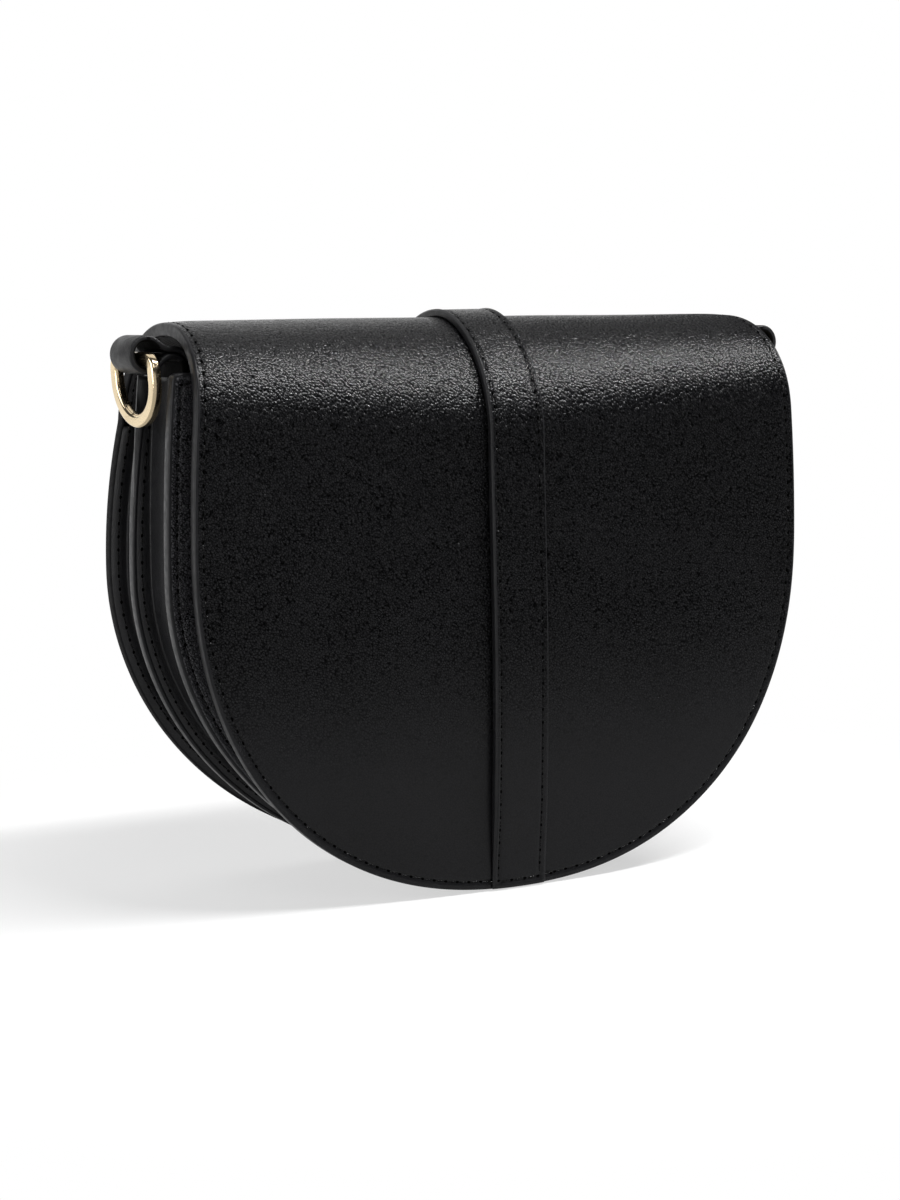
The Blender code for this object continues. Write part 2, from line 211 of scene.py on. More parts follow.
class Effect(Enum):
    """The shader groups that materials share."""

    GRAIN = "pebble_grain"
    WEAVE = "twill_weave"
    WEAR = "edge_wear"
    UNEVEN = "uneven_tone"
    SCRATCHES = "fine_scratches"


class EffectLibrary:
    """Builds each shared shader group once.

    Each recipe takes the group's graph and its inputs by name, and returns its results by name.
    """

    def __init__(self) -> None:
        """Makes every group."""
        grain = {"Pebble Size": 0.0008, "Crease Width": 0.16, "Unevenness": 0.35}
        wear = {"Edge Distance": 0.01, "Reach": 0.004, "Patch Size": 0.006}
        self.groups = {
            Effect.GRAIN: self.group(Effect.GRAIN, self.grain, grain),
            Effect.WEAVE: self.group(Effect.WEAVE, self.weave, {"Thread Pitch": 0.0006}),
            Effect.WEAR: self.group(Effect.WEAR, self.wear, wear),
            Effect.UNEVEN: self.group(Effect.UNEVEN, self.uneven, {"Patch Size": 0.03}),
            Effect.SCRATCHES: self.group(Effect.SCRATCHES, self.scratches, {"Spacing": 0.0009}),
        }

    @staticmethod
    def group(effect: Effect, recipe: Callable, sizes: dict[str, float]) -> bpy.types.NodeTree:
        """Makes one group.

        Args:
            effect: which one it is.
            recipe: adds its nodes.
            sizes: its inputs beside the coordinates, with their defaults.

        Returns:
            The group.
        """
        tree = bpy.data.node_groups.new(effect.value, "ShaderNodeTree")
        tree.interface.new_socket(name="Coordinates", in_out="INPUT", socket_type="NodeSocketVector")
        for name, value in sizes.items():
            socket = tree.interface.new_socket(name=name, in_out="INPUT", socket_type="NodeSocketFloat")
            socket.default_value = value
        graph = NodeGraph(tree)
        results = recipe(graph, graph.node("NodeGroupInput").outputs)
        for name in results:
            tree.interface.new_socket(name=name, in_out="OUTPUT", socket_type="NodeSocketFloat")
        graph.feed(graph.node("NodeGroupOutput"), results)
        return tree

    @staticmethod
    def grain(graph: NodeGraph, given: dict) -> dict[str, Socket]:
        """Recipe for pebbles of uneven size with creases between them.

        Args:
            graph: the group's graph.
            given: the group's inputs by name.

        Returns:
            Its results by name.
        """
        where, size = given["Coordinates"], given["Pebble Size"]
        scale = graph.math("DIVIDE", 1.0, size)
        slow = {"Vector": where, "Scale": graph.times(scale, 0.45)}
        warp = graph.node("ShaderNodeTexNoise", slow).outputs["Color"]
        shift = graph.out("ShaderNodeVectorMath", {0: warp, 1: (0.5, 0.5, 0.5)}, operation="SUBTRACT")
        reach = graph.times(size, given["Unevenness"])
        spread = graph.out("ShaderNodeVectorMath", {0: shift, "Scale": reach}, operation="SCALE")
        moved = graph.out("ShaderNodeVectorMath", {0: where, 1: spread}, operation="ADD")
        cell = {"Vector": moved, "Scale": scale}
        edges = graph.node("ShaderNodeTexVoronoi", cell, feature="DISTANCE_TO_EDGE").outputs["Distance"]
        cells = graph.node("ShaderNodeTexVoronoi", cell, feature="F1").outputs
        tone = graph.node("ShaderNodeSeparateColor", {"Color": cells["Color"]}).outputs[0]
        off = cells["Distance"]
        lifted = graph.times_add(graph.times(off, off), -2.0, 1.0)
        height = graph.times_add(graph.noise(where, graph.times(scale, 3.0), 2.0), 0.08, lifted)
        crease = graph.math("SUBTRACT", 1.0, graph.remap(edges, 0.0, given["Crease Width"]))
        return {"Height": height, "Crease": crease, "Tone": tone}

    @staticmethod
    def weave(graph: NodeGraph, given: dict) -> dict[str, Socket]:
        """Recipe for a fine twill of crossing threads.

        Args:
            graph: the group's graph.
            given: the group's inputs by name.

        Returns:
            Its results by name.
        """
        where = given["Coordinates"]
        rate = graph.math("DIVIDE", TURN, given["Thread Pitch"])
        across = graph.times(graph.axis(where, 0), rate)
        along = graph.times(graph.math("ADD", graph.axis(where, 2), graph.axis(where, 1)), rate)
        diagonal = graph.math("ADD", graph.times(across, 0.5), graph.times(along, 0.5))
        thread = graph.times(graph.math("SINE", across), graph.math("SINE", along))
        rib = graph.times(graph.math("SINE", diagonal), 0.2)
        height = graph.math("ADD", graph.times_add(thread, 0.3, rib), 0.5)
        fuzz = graph.noise(where, 4200.0, 2.0)
        return {"Height": graph.times_add(fuzz, 0.3, height), "Thread": height}

    @staticmethod
    def wear(graph: NodeGraph, given: dict) -> dict[str, Socket]:
        """Recipe for a patchy mask that is strong near an edge and fades inwards.

        Args:
            graph: the group's graph.
            given: the group's inputs by name.

        Returns:
            Its results by name.
        """
        near = graph.math("DIVIDE", given["Edge Distance"], given["Reach"])
        scale = graph.math("DIVIDE", 1.0, given["Patch Size"])
        patches = graph.remap(graph.noise(given["Coordinates"], scale, 5.0, 0.6), 0.42, 0.68)
        return {"Mask": graph.times(graph.remap(near, 0.0, 1.0, 1.0, 0.0), patches)}

    @staticmethod
    def uneven(graph: NodeGraph, given: dict) -> dict[str, Socket]:
        """Recipe for slow changes of tone and gloss over a surface.

        Args:
            graph: the group's graph.
            given: the group's inputs by name.

        Returns:
            Its results by name.
        """
        scale = graph.math("DIVIDE", 1.0, given["Patch Size"])
        tone = graph.noise(given["Coordinates"], scale, 3.0)
        gloss = graph.noise(given["Coordinates"], graph.times(scale, 6.0), 4.0, 0.6)
        return {"Tone": graph.remap(tone, 0.3, 0.7), "Gloss": graph.remap(gloss, 0.3, 0.7)}

    @staticmethod
    def scratches(graph: NodeGraph, given: dict) -> dict[str, Socket]:
        """Recipe for hairline marks in two directions.

        Args:
            graph: the group's graph.
            given: the group's inputs by name.

        Returns:
            Its results by name.
        """
        where, scale = given["Coordinates"], graph.math("DIVIDE", 1.0, given["Spacing"])
        marks = []
        for turn in (0.5, -0.9):
            placed = {"Vector": where, "Rotation": (turn, turn * 2, 0.4), "Scale": (1, 0.08, 1)}
            lines = graph.noise(graph.out("ShaderNodeMapping", placed), scale, 2.0, 0.7)
            marks.append(graph.remap(lines, 0.62, 0.7))
        return {"Mask": graph.math("MAXIMUM", *marks)}


class MaterialGraph(NodeGraph):
    """The tree of one material, with its Object coordinates and an uneven tone and gloss."""

    def __init__(self, tree: bpy.types.NodeTree, effects: EffectLibrary, patch: float) -> None:
        """Starts on a material's tree.

        Args:
            tree: the tree.
            effects: the shared groups.
            patch: size of the uneven patches.
        """
        super().__init__(tree)
        self.effects = effects
        self.where = self.node("ShaderNodeTexCoord").outputs["Object"]
        uneven = self.effect(Effect.UNEVEN, {"Patch Size": patch})
        self.tone, self.gloss = uneven["Tone"], uneven["Gloss"]

    def effect(self, effect: Effect, inputs: dict) -> dict:
        """Adds a shared group with such inputs and gives its outputs."""
        placed = {"Coordinates": self.where, **inputs}
        return self.node("ShaderNodeGroup", placed, node_tree=self.effects.groups[effect]).outputs


@dataclass(frozen=True)
class Finish:
    """What every finish has: a name, a colour and constants on the shader itself."""

    name: str
    colour: Colour
    specular: float = 0.5
    roughness: float = 0.5
    patch: float = 0.02

    def shade(self, factor: float) -> tuple[float, ...]:
        """The colour times a factor, as a shader colour."""
        return (*(channel * factor for channel in self.colour), 1.0)

    def toned(self, graph: MaterialGraph, low: float, high: float) -> Socket:
        """The colour, unevenly between two shades."""
        return graph.mix_colour(graph.tone, self.shade(low), self.shade(high))

    def glossed(self, graph: MaterialGraph, below: float, above: float) -> Socket:
        """The roughness, unevenly from so much below it to so much above it."""
        return graph.remap(graph.gloss, 0.0, 1.0, self.roughness - below, self.roughness + above)

    def looks(self, graph: MaterialGraph) -> dict[str, object]:
        """Adds the finish's own nodes.

        Args:
            graph: the material's tree.

        Returns:
            What each input of the shader is fed.
        """
        raise NotImplementedError

    def material(self, effects: EffectLibrary) -> Material:
        """Builds the material.

        Args:
            effects: the shared groups.

        Returns:
            The material.
        """
        material = bpy.data.materials.new(self.name)
        material.use_nodes = True
        material.diffuse_color = self.shade(1.0)
        graph = MaterialGraph(material.node_tree, effects, self.patch)
        shader = material.node_tree.nodes["Principled BSDF"]
        graph.feed(shader, {"Specular IOR Level": self.specular, **self.looks(graph)})
        return material


@dataclass(frozen=True)
class GrainedLeather(Finish):
    """Fine pebbled leather: glossy pebbles between matte creases that are painted dark as shade, the grain
    drawn flatter towards the foot.
    """

    roughness: float = 0.15
    patch: float = 0.045
    pebble: float = 0.00066
    crease: float = 0.19
    depth: float = 0.00010
    matte: float = 0.10
    varied: float = 0.19
    flat_roughness: float = 0.18
    stretch: float = 1.35
    worn: float = 0.3
    flat_from: float = 0.090
    flat_at: float = 0.032

    def looks(self, graph: MaterialGraph) -> dict[str, object]:
        """Adds the nodes.

        Args:
            graph: the material's tree.

        Returns:
            What each input of the shader is fed.
        """
        placed = {"Vector": graph.where, "Rotation": (0.0, 0.9, 0.0), "Scale": (self.stretch, 1.0, 1.0)}
        drawn = graph.node("ShaderNodeMapping", placed, vector_type="TEXTURE").outputs[0]
        sizes = {"Coordinates": drawn, "Pebble Size": self.pebble, "Crease Width": self.crease}
        grain = graph.effect(Effect.GRAIN, sizes)
        edge = graph.node("ShaderNodeAttribute", attribute_name="edge_distance").outputs["Fac"]
        wear = graph.effect(Effect.WEAR, {"Edge Distance": edge, "Reach": 0.0022, "Patch Size": 0.004})
        worn = graph.times(wear["Mask"], self.worn)
        flat = graph.remap(graph.axis(graph.where, 2), self.flat_at, self.flat_from, 0.85, 0.0)
        full = graph.math("SUBTRACT", 1.0, flat)
        deep = graph.times(grain["Crease"], full)

        base = self.toned(graph, 0.82, 1.18)
        pebbled = graph.mix_colour(graph.times(grain["Tone"], 0.3), base, self.shade(1.35))
        # Creases are painted dark, as shade; Metallic below takes the same mask and darkens them further,
        # and the painted crease shade fades towards the foot.
        crease_shaded = graph.mix_colour(deep, pebbled, self.shade(0.2))
        pebbles = graph.times(grain["Tone"], full)
        varied = graph.times_add(pebbles, self.varied, self.glossed(graph, 0.02, 0.02))
        pressed = graph.times_add(flat, self.flat_roughness, varied)
        matte = graph.times_add(deep, self.matte, pressed)
        raised = graph.times(grain["Height"], graph.math("MAXIMUM", full, 0.15))
        relief = graph.times_add(graph.noise(graph.where, 260.0, 3.0), 0.2, raised)
        return {
            "Base Color": graph.mix_colour(worn, crease_shaded, self.shade(2.6)),
            # Metallic in the creases deepens their painted shade.
            "Metallic": deep,
            "Roughness": graph.times_add(worn, -0.10, matte),
            "Normal": graph.bump(relief, self.depth),
        }


@dataclass(frozen=True)
class SmoothLeather(Finish):
    """Plain leather of the gussets and tabs, with faint pores whose creases are painted darker as shade,
    and soft creases in its relief.
    """

    roughness: float = 0.42
    pore: float = 0.00035
    depth: float = 0.00003

    def looks(self, graph: MaterialGraph) -> dict[str, object]:
        """Adds the nodes.

        Args:
            graph: the material's tree.

        Returns:
            What each input of the shader is fed.
        """
        pores = graph.effect(Effect.GRAIN, {"Pebble Size": self.pore, "Crease Width": 0.3})
        base = self.toned(graph, 0.8, 1.2)
        drawn = graph.node("ShaderNodeMapping", {"Vector": graph.where, "Scale": (1, 1, 0.2)}).outputs[0]
        relief = graph.times_add(graph.noise(drawn, 420.0, 4.0, 0.6), 1.6, pores["Height"])
        return {
            # The pores' creases are painted darker, as shade.
            "Base Color": graph.mix_colour(graph.times(pores["Crease"], 0.5), base, self.shade(0.5)),
            "Roughness": self.glossed(graph, 0.06, 0.06),
            "Normal": graph.bump(relief, self.depth),
        }


@dataclass(frozen=True)
class EdgePaint(Finish):
    """Thick satin paint on a cut edge, with slight runs and rubbed spots, rougher at the back and painted
    darker there as shade.
    """

    roughness: float = 0.34
    patch: float = 0.012
    depth: float = 0.00006
    back_shade_from: float = 0.022
    back_shade_at: float = 0.029

    def looks(self, graph: MaterialGraph) -> dict[str, object]:
        """Adds the nodes.

        Args:
            graph: the material's tree.

        Returns:
            What each input of the shader is fed.
        """
        wear = graph.effect(Effect.WEAR, {"Edge Distance": 0.0, "Patch Size": 0.003})["Mask"]
        rubbed = graph.mix_colour(graph.times(wear, 0.25), self.toned(graph, 0.88, 1.12), self.shade(1.7))
        # Towards the back the paint is painted darker, as shade, and made rougher.
        back_shade_and_dull = graph.remap(graph.axis(graph.where, 1), self.back_shade_from, self.back_shade_at)
        return {
            "Base Color": graph.mix_colour(back_shade_and_dull, rubbed, self.shade(0.5)),
            "Roughness": graph.times_add(back_shade_and_dull, 0.4, self.glossed(graph, 0.05, 0.08)),
            "Normal": graph.bump(graph.noise(graph.where, 700.0, 3.0), self.depth),
        }


@dataclass(frozen=True)
class WovenLining(Finish):
    """Matte twill lining."""

    roughness: float = 0.85
    pitch: float = 0.0007
    depth: float = 0.00012

    def looks(self, graph: MaterialGraph) -> dict[str, object]:
        """Adds the nodes.

        Args:
            graph: the material's tree.

        Returns:
            What each input of the shader is fed.
        """
        weave = graph.effect(Effect.WEAVE, {"Thread Pitch": self.pitch})
        base = graph.mix_colour(weave["Thread"], self.shade(0.55), self.shade(1.3))
        rough = graph.remap(weave["Thread"], 0.0, 1.0, self.roughness + 0.08, self.roughness - 0.05)
        return {
            "Base Color": graph.mix_colour(graph.times(graph.tone, 0.4), base, self.shade(0.8)),
            "Roughness": rough,
            "Normal": graph.bump(weave["Height"], self.depth),
            "Sheen Weight": 0.25,
            "Sheen Roughness": 0.5,
        }


@dataclass(frozen=True)
class NeedleHoleShade(Finish):
    """A dark disc at a stitch hole: painted shade standing in for the shaded inside of the hole."""

    patch: float = 0.002

    def looks(self, graph: MaterialGraph) -> dict[str, object]:
        """Adds the nodes: see Finish.looks."""
        rough = graph.remap(graph.gloss, 0.0, 1.0, 0.85, 1.0)
        return {"Base Color": self.toned(graph, 0.6, 1.4), "Roughness": rough}


@dataclass(frozen=True)
class Thread(Finish):
    """Bonded sewing thread with a visible twist."""

    patch: float = 0.004
    depth: float = 0.00008

    def looks(self, graph: MaterialGraph) -> dict[str, object]:
        """Adds the nodes.

        Args:
            graph: the material's tree.

        Returns:
            What each input of the shader is fed.
        """
        twist = graph.out("ShaderNodeMapping", {"Vector": graph.where, "Rotation": (0.6, 0.6, 0.6)})
        strands = graph.node("ShaderNodeTexWave", {"Vector": twist, "Scale": 900.0, "Distortion": 0.4})
        return {
            "Base Color": self.toned(graph, 0.7, 1.4),
            "Roughness": self.glossed(graph, 0.1, 0.1),
            "Normal": graph.bump(strands.outputs["Fac"], self.depth),
        }


@dataclass(frozen=True)
class PlatedMetal(Finish):
    """Cast and plated metal with hairlines and slightly dulled patches."""

    roughness: float = 0.14
    patch: float = 0.006
    depth: float = 0.00001

    def looks(self, graph: MaterialGraph) -> dict[str, object]:
        """Adds the nodes.

        Args:
            graph: the material's tree.

        Returns:
            What each input of the shader is fed.
        """
        marks = graph.effect(Effect.SCRATCHES, {})["Mask"]
        waves = graph.times(graph.noise(graph.where, 350.0, 2.0), 3.0)
        base = self.toned(graph, 0.94, 1.04)
        return {
            "Metallic": 1.0,
            "Base Color": graph.mix_colour(graph.times(marks, 0.3), base, self.shade(0.8)),
            "Roughness": graph.times_add(marks, 0.15, self.glossed(graph, 0.04, 0.06)),
            "Normal": graph.bump(graph.times_add(marks, -0.3, waves), self.depth),
        }


class Workshop:
    """Holds the finished materials that the pieces are dressed with."""

    def __init__(self) -> None:
        """Builds the shared groups and every material."""
        effects = EffectLibrary()
        self.leather = GrainedLeather("grained_leather", (0.0043, 0.0043, 0.0051), 0.35).material(effects)
        # A copy of the grained leather painted about nine times lighter, as painted light for the front
        # panel in the flap's shadow.
        self.front = GrainedLeather("front_leather_with_painted_light", (0.0380, 0.0380, 0.0415), 0.50).material(effects)
        self.smooth = SmoothLeather("smooth_leather", (0.0095, 0.0095, 0.0108), 0.34).material(effects)
        # A darker matte copy of the smooth leather: the flesh side in the tab's fold, and painted shade
        # there and on the tab's lower tail.
        self.flesh_and_painted_shade = SmoothLeather("flesh_side_and_painted_shade", (0.0040, 0.0038, 0.0038), 0.05, 0.8).material(effects)
        self.paint = EdgePaint("edge_paint", (0.0085, 0.0085, 0.0096), 0.22).material(effects)
        self.lining = WovenLining("woven_lining", (0.020, 0.019, 0.020), 0.3).material(effects)
        self.thread = Thread("black_thread", (0.0010, 0.0010, 0.0012), 0.30, 0.25).material(effects)
        # Nearly black discs at the stitch holes, painted shade in place of the holes' shaded insides.
        self.hole = NeedleHoleShade("needle_hole_painted_shade", (0.0008, 0.0008, 0.0008), 0.0).material(effects)
        self.gold = PlatedMetal("gold_plate", (0.86, 0.70, 0.46)).material(effects)
        self.snap = PlatedMetal("snap_plate", (0.55, 0.45, 0.30), 0.5, 0.30).material(effects)


# Outlines and surfaces


def ease(share: Array) -> Array:
    """A smooth step from 0 to 1."""
    return share * share * (3 - 2 * share)


def run(path: Array) -> Array:
    """How far along a path each of its points lies."""
    return np.concatenate([[0.0], np.cumsum(np.linalg.norm(np.diff(path, axis=0), axis=1))])


def read(path: Array, at: Array) -> Array:
    """Points of a path at distances along it."""
    along = run(path)
    return np.stack([np.interp(at, along, path[:, axis]) for axis in (0, 1)], axis=1)


def resampled(outline: Array, step: float) -> Array:
    """Spaces the points of a closed outline evenly, about a step apart.

    Args:
        outline: points (u, v) in order.
        step: the distance wanted between points.

    Returns:
        The new points.
    """
    closed = np.vstack([outline, outline[:1]])
    length = run(closed)[-1]
    return read(closed, np.linspace(0, length, max(8, round(length / step)), endpoint=False))


def left_normals(line: Array, closed: bool = True) -> Array:
    """Unit normals to the left of a line, which point into a counterclockwise outline.

    Args:
        line: points (u, v) in order.
        closed: whether it is a closed outline.

    Returns:
        One normal for each point.
    """
    tangents = np.roll(line, -1, axis=0) - np.roll(line, 1, axis=0) if closed else np.gradient(line, axis=0)
    normals = np.stack([-tangents[:, 1], tangents[:, 0]], axis=1)
    return normals / np.linalg.norm(normals, axis=1, keepdims=True)


def distance_to(outline: Array, points: Array) -> Array:
    """Distance of each point to a closed outline.

    Args:
        outline: the closed outline.
        points: points (u, v).

    Returns:
        One distance for each point.
    """
    run_of = np.roll(outline, -1, axis=0) - outline
    length = np.maximum((run_of**2).sum(axis=1), 1e-18)
    found = []
    for chunk in np.array_split(points, max(1, len(points) // 2000)):
        offset = chunk[:, None] - outline
        share = np.clip((offset * run_of).sum(axis=2) / length, 0, 1)
        away = offset - share[..., None] * run_of
        found.append(np.sqrt((away**2).sum(axis=2).min(axis=1)))
    return np.concatenate(found)


def inside(outline: Array, points: Array) -> Array:
    """Whether each point lies in a closed outline, by counting crossings.

    Args:
        outline: points (u, v) in order.
        points: what is tested.

    Returns:
        One truth value for each point.
    """
    x, y = points[:, 0], points[:, 1]
    result = np.zeros(len(points), bool)
    for (x0, y0), (x1, y1) in zip(outline, np.roll(outline, -1, axis=0)):
        if y0 != y1:
            result ^= ((y0 > y) != (y1 > y)) & (x < (x1 - x0) * (y - y0) / (y1 - y0) + x0)
    return result


def with_round_corners(outline: Array, radius: float, sharp: float = 0.6) -> Array:
    """Replaces each sharp corner of a closed outline by a short curve.

    Args:
        outline: points (u, v) in order.
        radius: how far from the corner the curve starts.
        sharp: the turn, in radians, from which a corner is rounded.

    Returns:
        The new points.
    """
    result = []
    for index, point in enumerate(outline):
        before, after = outline[index - 1] - point, outline[(index + 1) % len(outline)] - point
        reach = (np.linalg.norm(before), np.linalg.norm(after))
        turn = math.acos(np.clip(-(before @ after) / (reach[0] * reach[1]), -1, 1))
        if turn < sharp:
            result.append(point)
            continue
        start = point + before / reach[0] * min(radius, reach[0] * 0.9)
        end = point + after / reach[1] * min(radius, reach[1] * 0.9)
        for share in np.linspace(0, 1, 7):
            result.append((1 - share) ** 2 * start + 2 * share * (1 - share) * point + share**2 * end)
    return np.array(result)


@dataclass(frozen=True)
class HalfMoon:
    """A half-moon cut, either the flap's or the body's."""

    widest: float
    power: float
    half: float
    base: float
    top: float = 0.1742
    top_draw: float = 0.0045

    def drawn_in(self, z: Array, extra: float = 0.0) -> Array:
        """How far the side has drawn in at a height, with so much extra at the hinge line.

        Args:
            z: heights.
            extra: what it draws in further at the hinge line.

        Returns:
            The distances.
        """
        rise = np.maximum(z - self.widest, 0)
        near_top = rise / (self.top - self.widest)
        near_hinge = rise / (HINGE - self.widest)
        return self.top_draw * near_top**2 + extra * near_hinge**2

    def side(self, top: float, extra: float = 0.0, inset: float = 0.0) -> Array:
        """Points up the +X side, from the middle of the base.

        Args:
            top: height of the upper end.
            extra: further draw-in at the hinge line.
            inset: how far it lies inside the cut.

        Returns:
            Points (x, z).
        """
        half, base = self.half - inset, self.base + inset
        angle = np.linspace(0, RIGHT_ANGLE, 121)
        share = 2 / self.power
        x = half * np.sin(angle) ** share
        z = self.widest - (self.widest - base) * np.maximum(np.cos(angle), 0) ** share
        upper = np.linspace(self.widest, top, 40)[1:]
        x = np.concatenate([x, half - self.drawn_in(upper, extra)])
        return np.stack([x, np.concatenate([z, upper])], axis=1)

    def panel(self, top: float, extra: float = 0.0, dip: float = 0.0, inset: float = 0.0) -> Array:
        """The closed outline of a panel, counterclockwise.

        Args:
            top: height of the upper corners.
            extra: further draw-in at the hinge line.
            dip: how far the top edge sags in the middle.
            inset: how far it lies inside the cut.

        Returns:
            Points (x, z).
        """
        right = self.side(top, extra, inset)
        corner = right[-1][0]
        x = np.linspace(corner, -corner, 61)[1:-1]
        z = top - dip * (1 - (x / corner) ** 2) ** 2
        return np.vstack([right, np.stack([x, z], axis=1), right[:0:-1] * (-1, 1)])

    def rim(self, top: float, extra: float) -> Array:
        """The whole U from the top left to the top right, evenly spaced.

        Args:
            top: height of the upper ends.
            extra: further draw-in at the hinge line.

        Returns:
            Points (x, z).
        """
        side = self.side(top, extra)
        whole = np.vstack([side[:0:-1] * (-1, 1), side])
        length = run(whole)[-1]
        return read(whole, np.linspace(0, length, round(length / STITCH_STEP)))


class Surface:
    """Places points of a flat pattern in space."""

    def place(self, pattern: Array, depth: Array) -> Array:
        """Points in space.

        Args:
            pattern: points (u, v) of the pattern.
            depth: how far behind the outer face each one lies.

        Returns:
            Points (x, y, z).
        """
        raise NotImplementedError

    def normals(self, pattern: Array) -> Array:
        """Outward directions at points of the pattern."""
        return self.place(pattern, np.full(len(pattern), -MM)) - self.place(pattern, np.zeros(len(pattern)))


@dataclass
class FlatSurface(Surface):
    """A flat panel in the XZ plane."""

    y: float
    side: Side

    def place(self, pattern: Array, depth: Array) -> Array:
        """Points in space: see Surface.place."""
        return np.stack([pattern[:, 0], self.y - self.side.value * depth, pattern[:, 1]], axis=1)


@dataclass
class RolledSurface(Surface):
    """The outer face of the leather: up the front, over the rolled top and down the back.

    A pattern point is (x, s), where s runs up the front from the ground.
    """

    half_depth: float = 0.033
    top: float = 0.1744
    front_end: float = 0.136
    end_front_power: float = 2.25
    end_back_power: float = 2.15
    middle_height: float = 0.034
    middle_power: float = 1.85
    middle_reach: float = 0.098
    swell: float = 0.0011
    swell_reach: float = 0.103
    ripple: float = 0.00035
    droop: float = 0.0006
    droop_from: float = 0.088
    droop_at: float = 0.0985
    tables: list[Array] = field(default_factory=list)
    roll_length: float = 0.0

    def __post_init__(self) -> None:
        """Tabulates the roll at the ends and in the middle."""
        ends = self.roll(self.top - HINGE, self.end_front_power)
        self.roll_length = float(run(ends)[-1])
        for path in (ends, self.roll(self.middle_height, self.middle_power)):
            self.tables.append(read(path, np.linspace(0, 1, 400) * run(path)[-1]))

    def roll(self, height: float, power: float) -> Array:
        """One profile of the roll.

        Args:
            height: how far its front half rises over its own foot.
            power: how square its front half is.

        Returns:
            Points (y, z) from the front face to the hinge line.
        """
        angle = np.linspace(math.pi, RIGHT_ANGLE, 160)
        y = -self.half_depth * np.abs(np.cos(angle)) ** (2 / power)
        z = self.top - height + height * np.maximum(np.sin(angle), 0) ** (2 / power)
        rear = np.linspace(RIGHT_ANGLE, 0, 160)[1:]
        rear_y = self.half_depth * np.cos(rear) ** (2 / self.end_back_power)
        rear_z = HINGE + (self.top - HINGE) * np.maximum(np.sin(rear), 0) ** (2 / self.end_back_power)
        front, back = np.stack([y, z], axis=1), np.stack([rear_y, rear_z], axis=1)
        return np.vstack([[[-self.half_depth, self.front_end]], front, back])

    @property
    def hinge_s(self) -> float:
        """Where the hinge line lies along s."""
        return self.front_end + self.roll_length

    def line(self, pattern: Array) -> Array:
        """Points (y, z) of the bare profile at points of the pattern.

        Args:
            pattern: points (x, s).

        Returns:
            Points (y, z).
        """
        x, s = pattern[:, 0], pattern[:, 1]
        last = len(self.tables[0]) - 1
        share = np.clip((s - self.front_end) / self.roll_length, 0, 1) * last
        low = np.minimum(share.astype(int), last - 1)
        part = (share - low)[:, None]
        ends, middle = (table[low] * (1 - part) + table[low + 1] * part for table in self.tables)
        weight = ease(np.clip(1 - np.abs(x) / self.middle_reach, 0, 1))[:, None] ** 0.7
        point = ends * (1 - weight) + middle * weight
        front, back = s < self.front_end, s > self.hinge_s
        point[front] = np.stack([np.full(front.sum(), -self.half_depth), s[front]], axis=1)
        down = HINGE - (s[back] - self.hinge_s)
        point[back] = np.stack([np.full(back.sum(), self.half_depth), down], axis=1)
        return point

    def height(self, s: Array) -> Array:
        """The height of the end profile along s."""
        return self.line(np.stack([np.full(len(s), 1.0), s], axis=1))[:, 1]

    def place(self, pattern: Array, depth: Array) -> Array:
        """Points in space.

        Args:
            pattern: points (x, s).
            depth: how far behind the outer face each one lies.

        Returns:
            Points (x, y, z).
        """
        step = np.array([0.0, 0.0004])
        tangent = self.line(pattern + step) - self.line(pattern - step)
        tangent /= np.linalg.norm(tangent, axis=1, keepdims=True)
        outward = np.stack([-tangent[:, 1], tangent[:, 0]], axis=1)
        x, s = pattern[:, 0], pattern[:, 1]
        across = np.clip(1 - (x / self.swell_reach) ** 2, 0, 1)
        puff = self.swell * across * np.sin(math.pi * np.clip(s / self.front_end, 0, 1)) ** 2
        wave = np.array([noise.noise(Vector((u * 21, 3.7, v * 21))) for u, v in pattern]) * self.ripple
        calm = np.clip((self.hinge_s - s) / 0.05, 0, 1)
        line = self.line(pattern) + outward * (puff + wave * calm - depth)[:, None]
        on_roll = np.clip((line[:, 1] - HINGE) / (self.top - HINGE), 0, 1)
        ends = np.clip((np.abs(x) - self.droop_from) / (self.droop_at - self.droop_from), 0, 1.2)
        line[:, 1] -= self.droop * ends**2 * on_roll**2
        return np.stack([x, line[:, 0], line[:, 1]], axis=1)

    def outline(self, flap: HalfMoon, body: HalfMoon) -> Array:
        """The closed outline of the one-piece outer leather, counterclockwise.

        Args:
            flap: the flap's cut.
            body: the body's cut.

        Returns:
            Points (x, s).
        """
        s = np.linspace(self.front_end, self.hinge_s, 80)[1:]
        roll = np.stack([flap.half - flap.drawn_in(self.height(s)), s], axis=1)
        proud = body.half - float(body.drawn_in(HINGE)) - roll[-1][0]
        back = body.side(HINGE, proud)[::-1][1:]
        back = np.stack([back[:, 0], self.hinge_s + HINGE - back[:, 1]], axis=1)
        right = np.vstack([flap.side(self.front_end), roll, back])
        return np.vstack([right, right[-2:0:-1] * (-1, 1)])


# Mesh making


def linked(name: str, data: bpy.types.ID) -> Object:
    """Puts a new object with such data in the scene.

    Args:
        name: its name.
        data: its mesh, camera or light.

    Returns:
        The object.
    """
    obj = bpy.data.objects.new(name, data)
    bpy.context.scene.collection.objects.link(obj)
    return obj


def mesh_object(
    name: str, vertices: Array, faces: list[list[int]], materials: Sequence[Material],
    slots: Sequence[int] = (),
) -> Object:
    """Makes a smooth mesh object with every face turned outwards.

    Args:
        name: its name.
        vertices: points (x, y, z).
        faces: vertex numbers of each face.
        materials: its materials.
        slots: the material number of each face, where that isn't 0 throughout.

    Returns:
        The object.
    """
    mesh = bpy.data.meshes.new(name)
    mesh.from_pydata([tuple(point) for point in vertices], [], faces)
    for material in materials:
        mesh.materials.append(material)
    if slots:
        mesh.polygons.foreach_set("material_index", slots)
    work = bmesh.new()
    work.from_mesh(mesh)
    bmesh.ops.recalc_face_normals(work, faces=work.faces)
    work.to_mesh(mesh)
    work.free()
    mesh.shade_smooth()
    return linked(name, mesh)


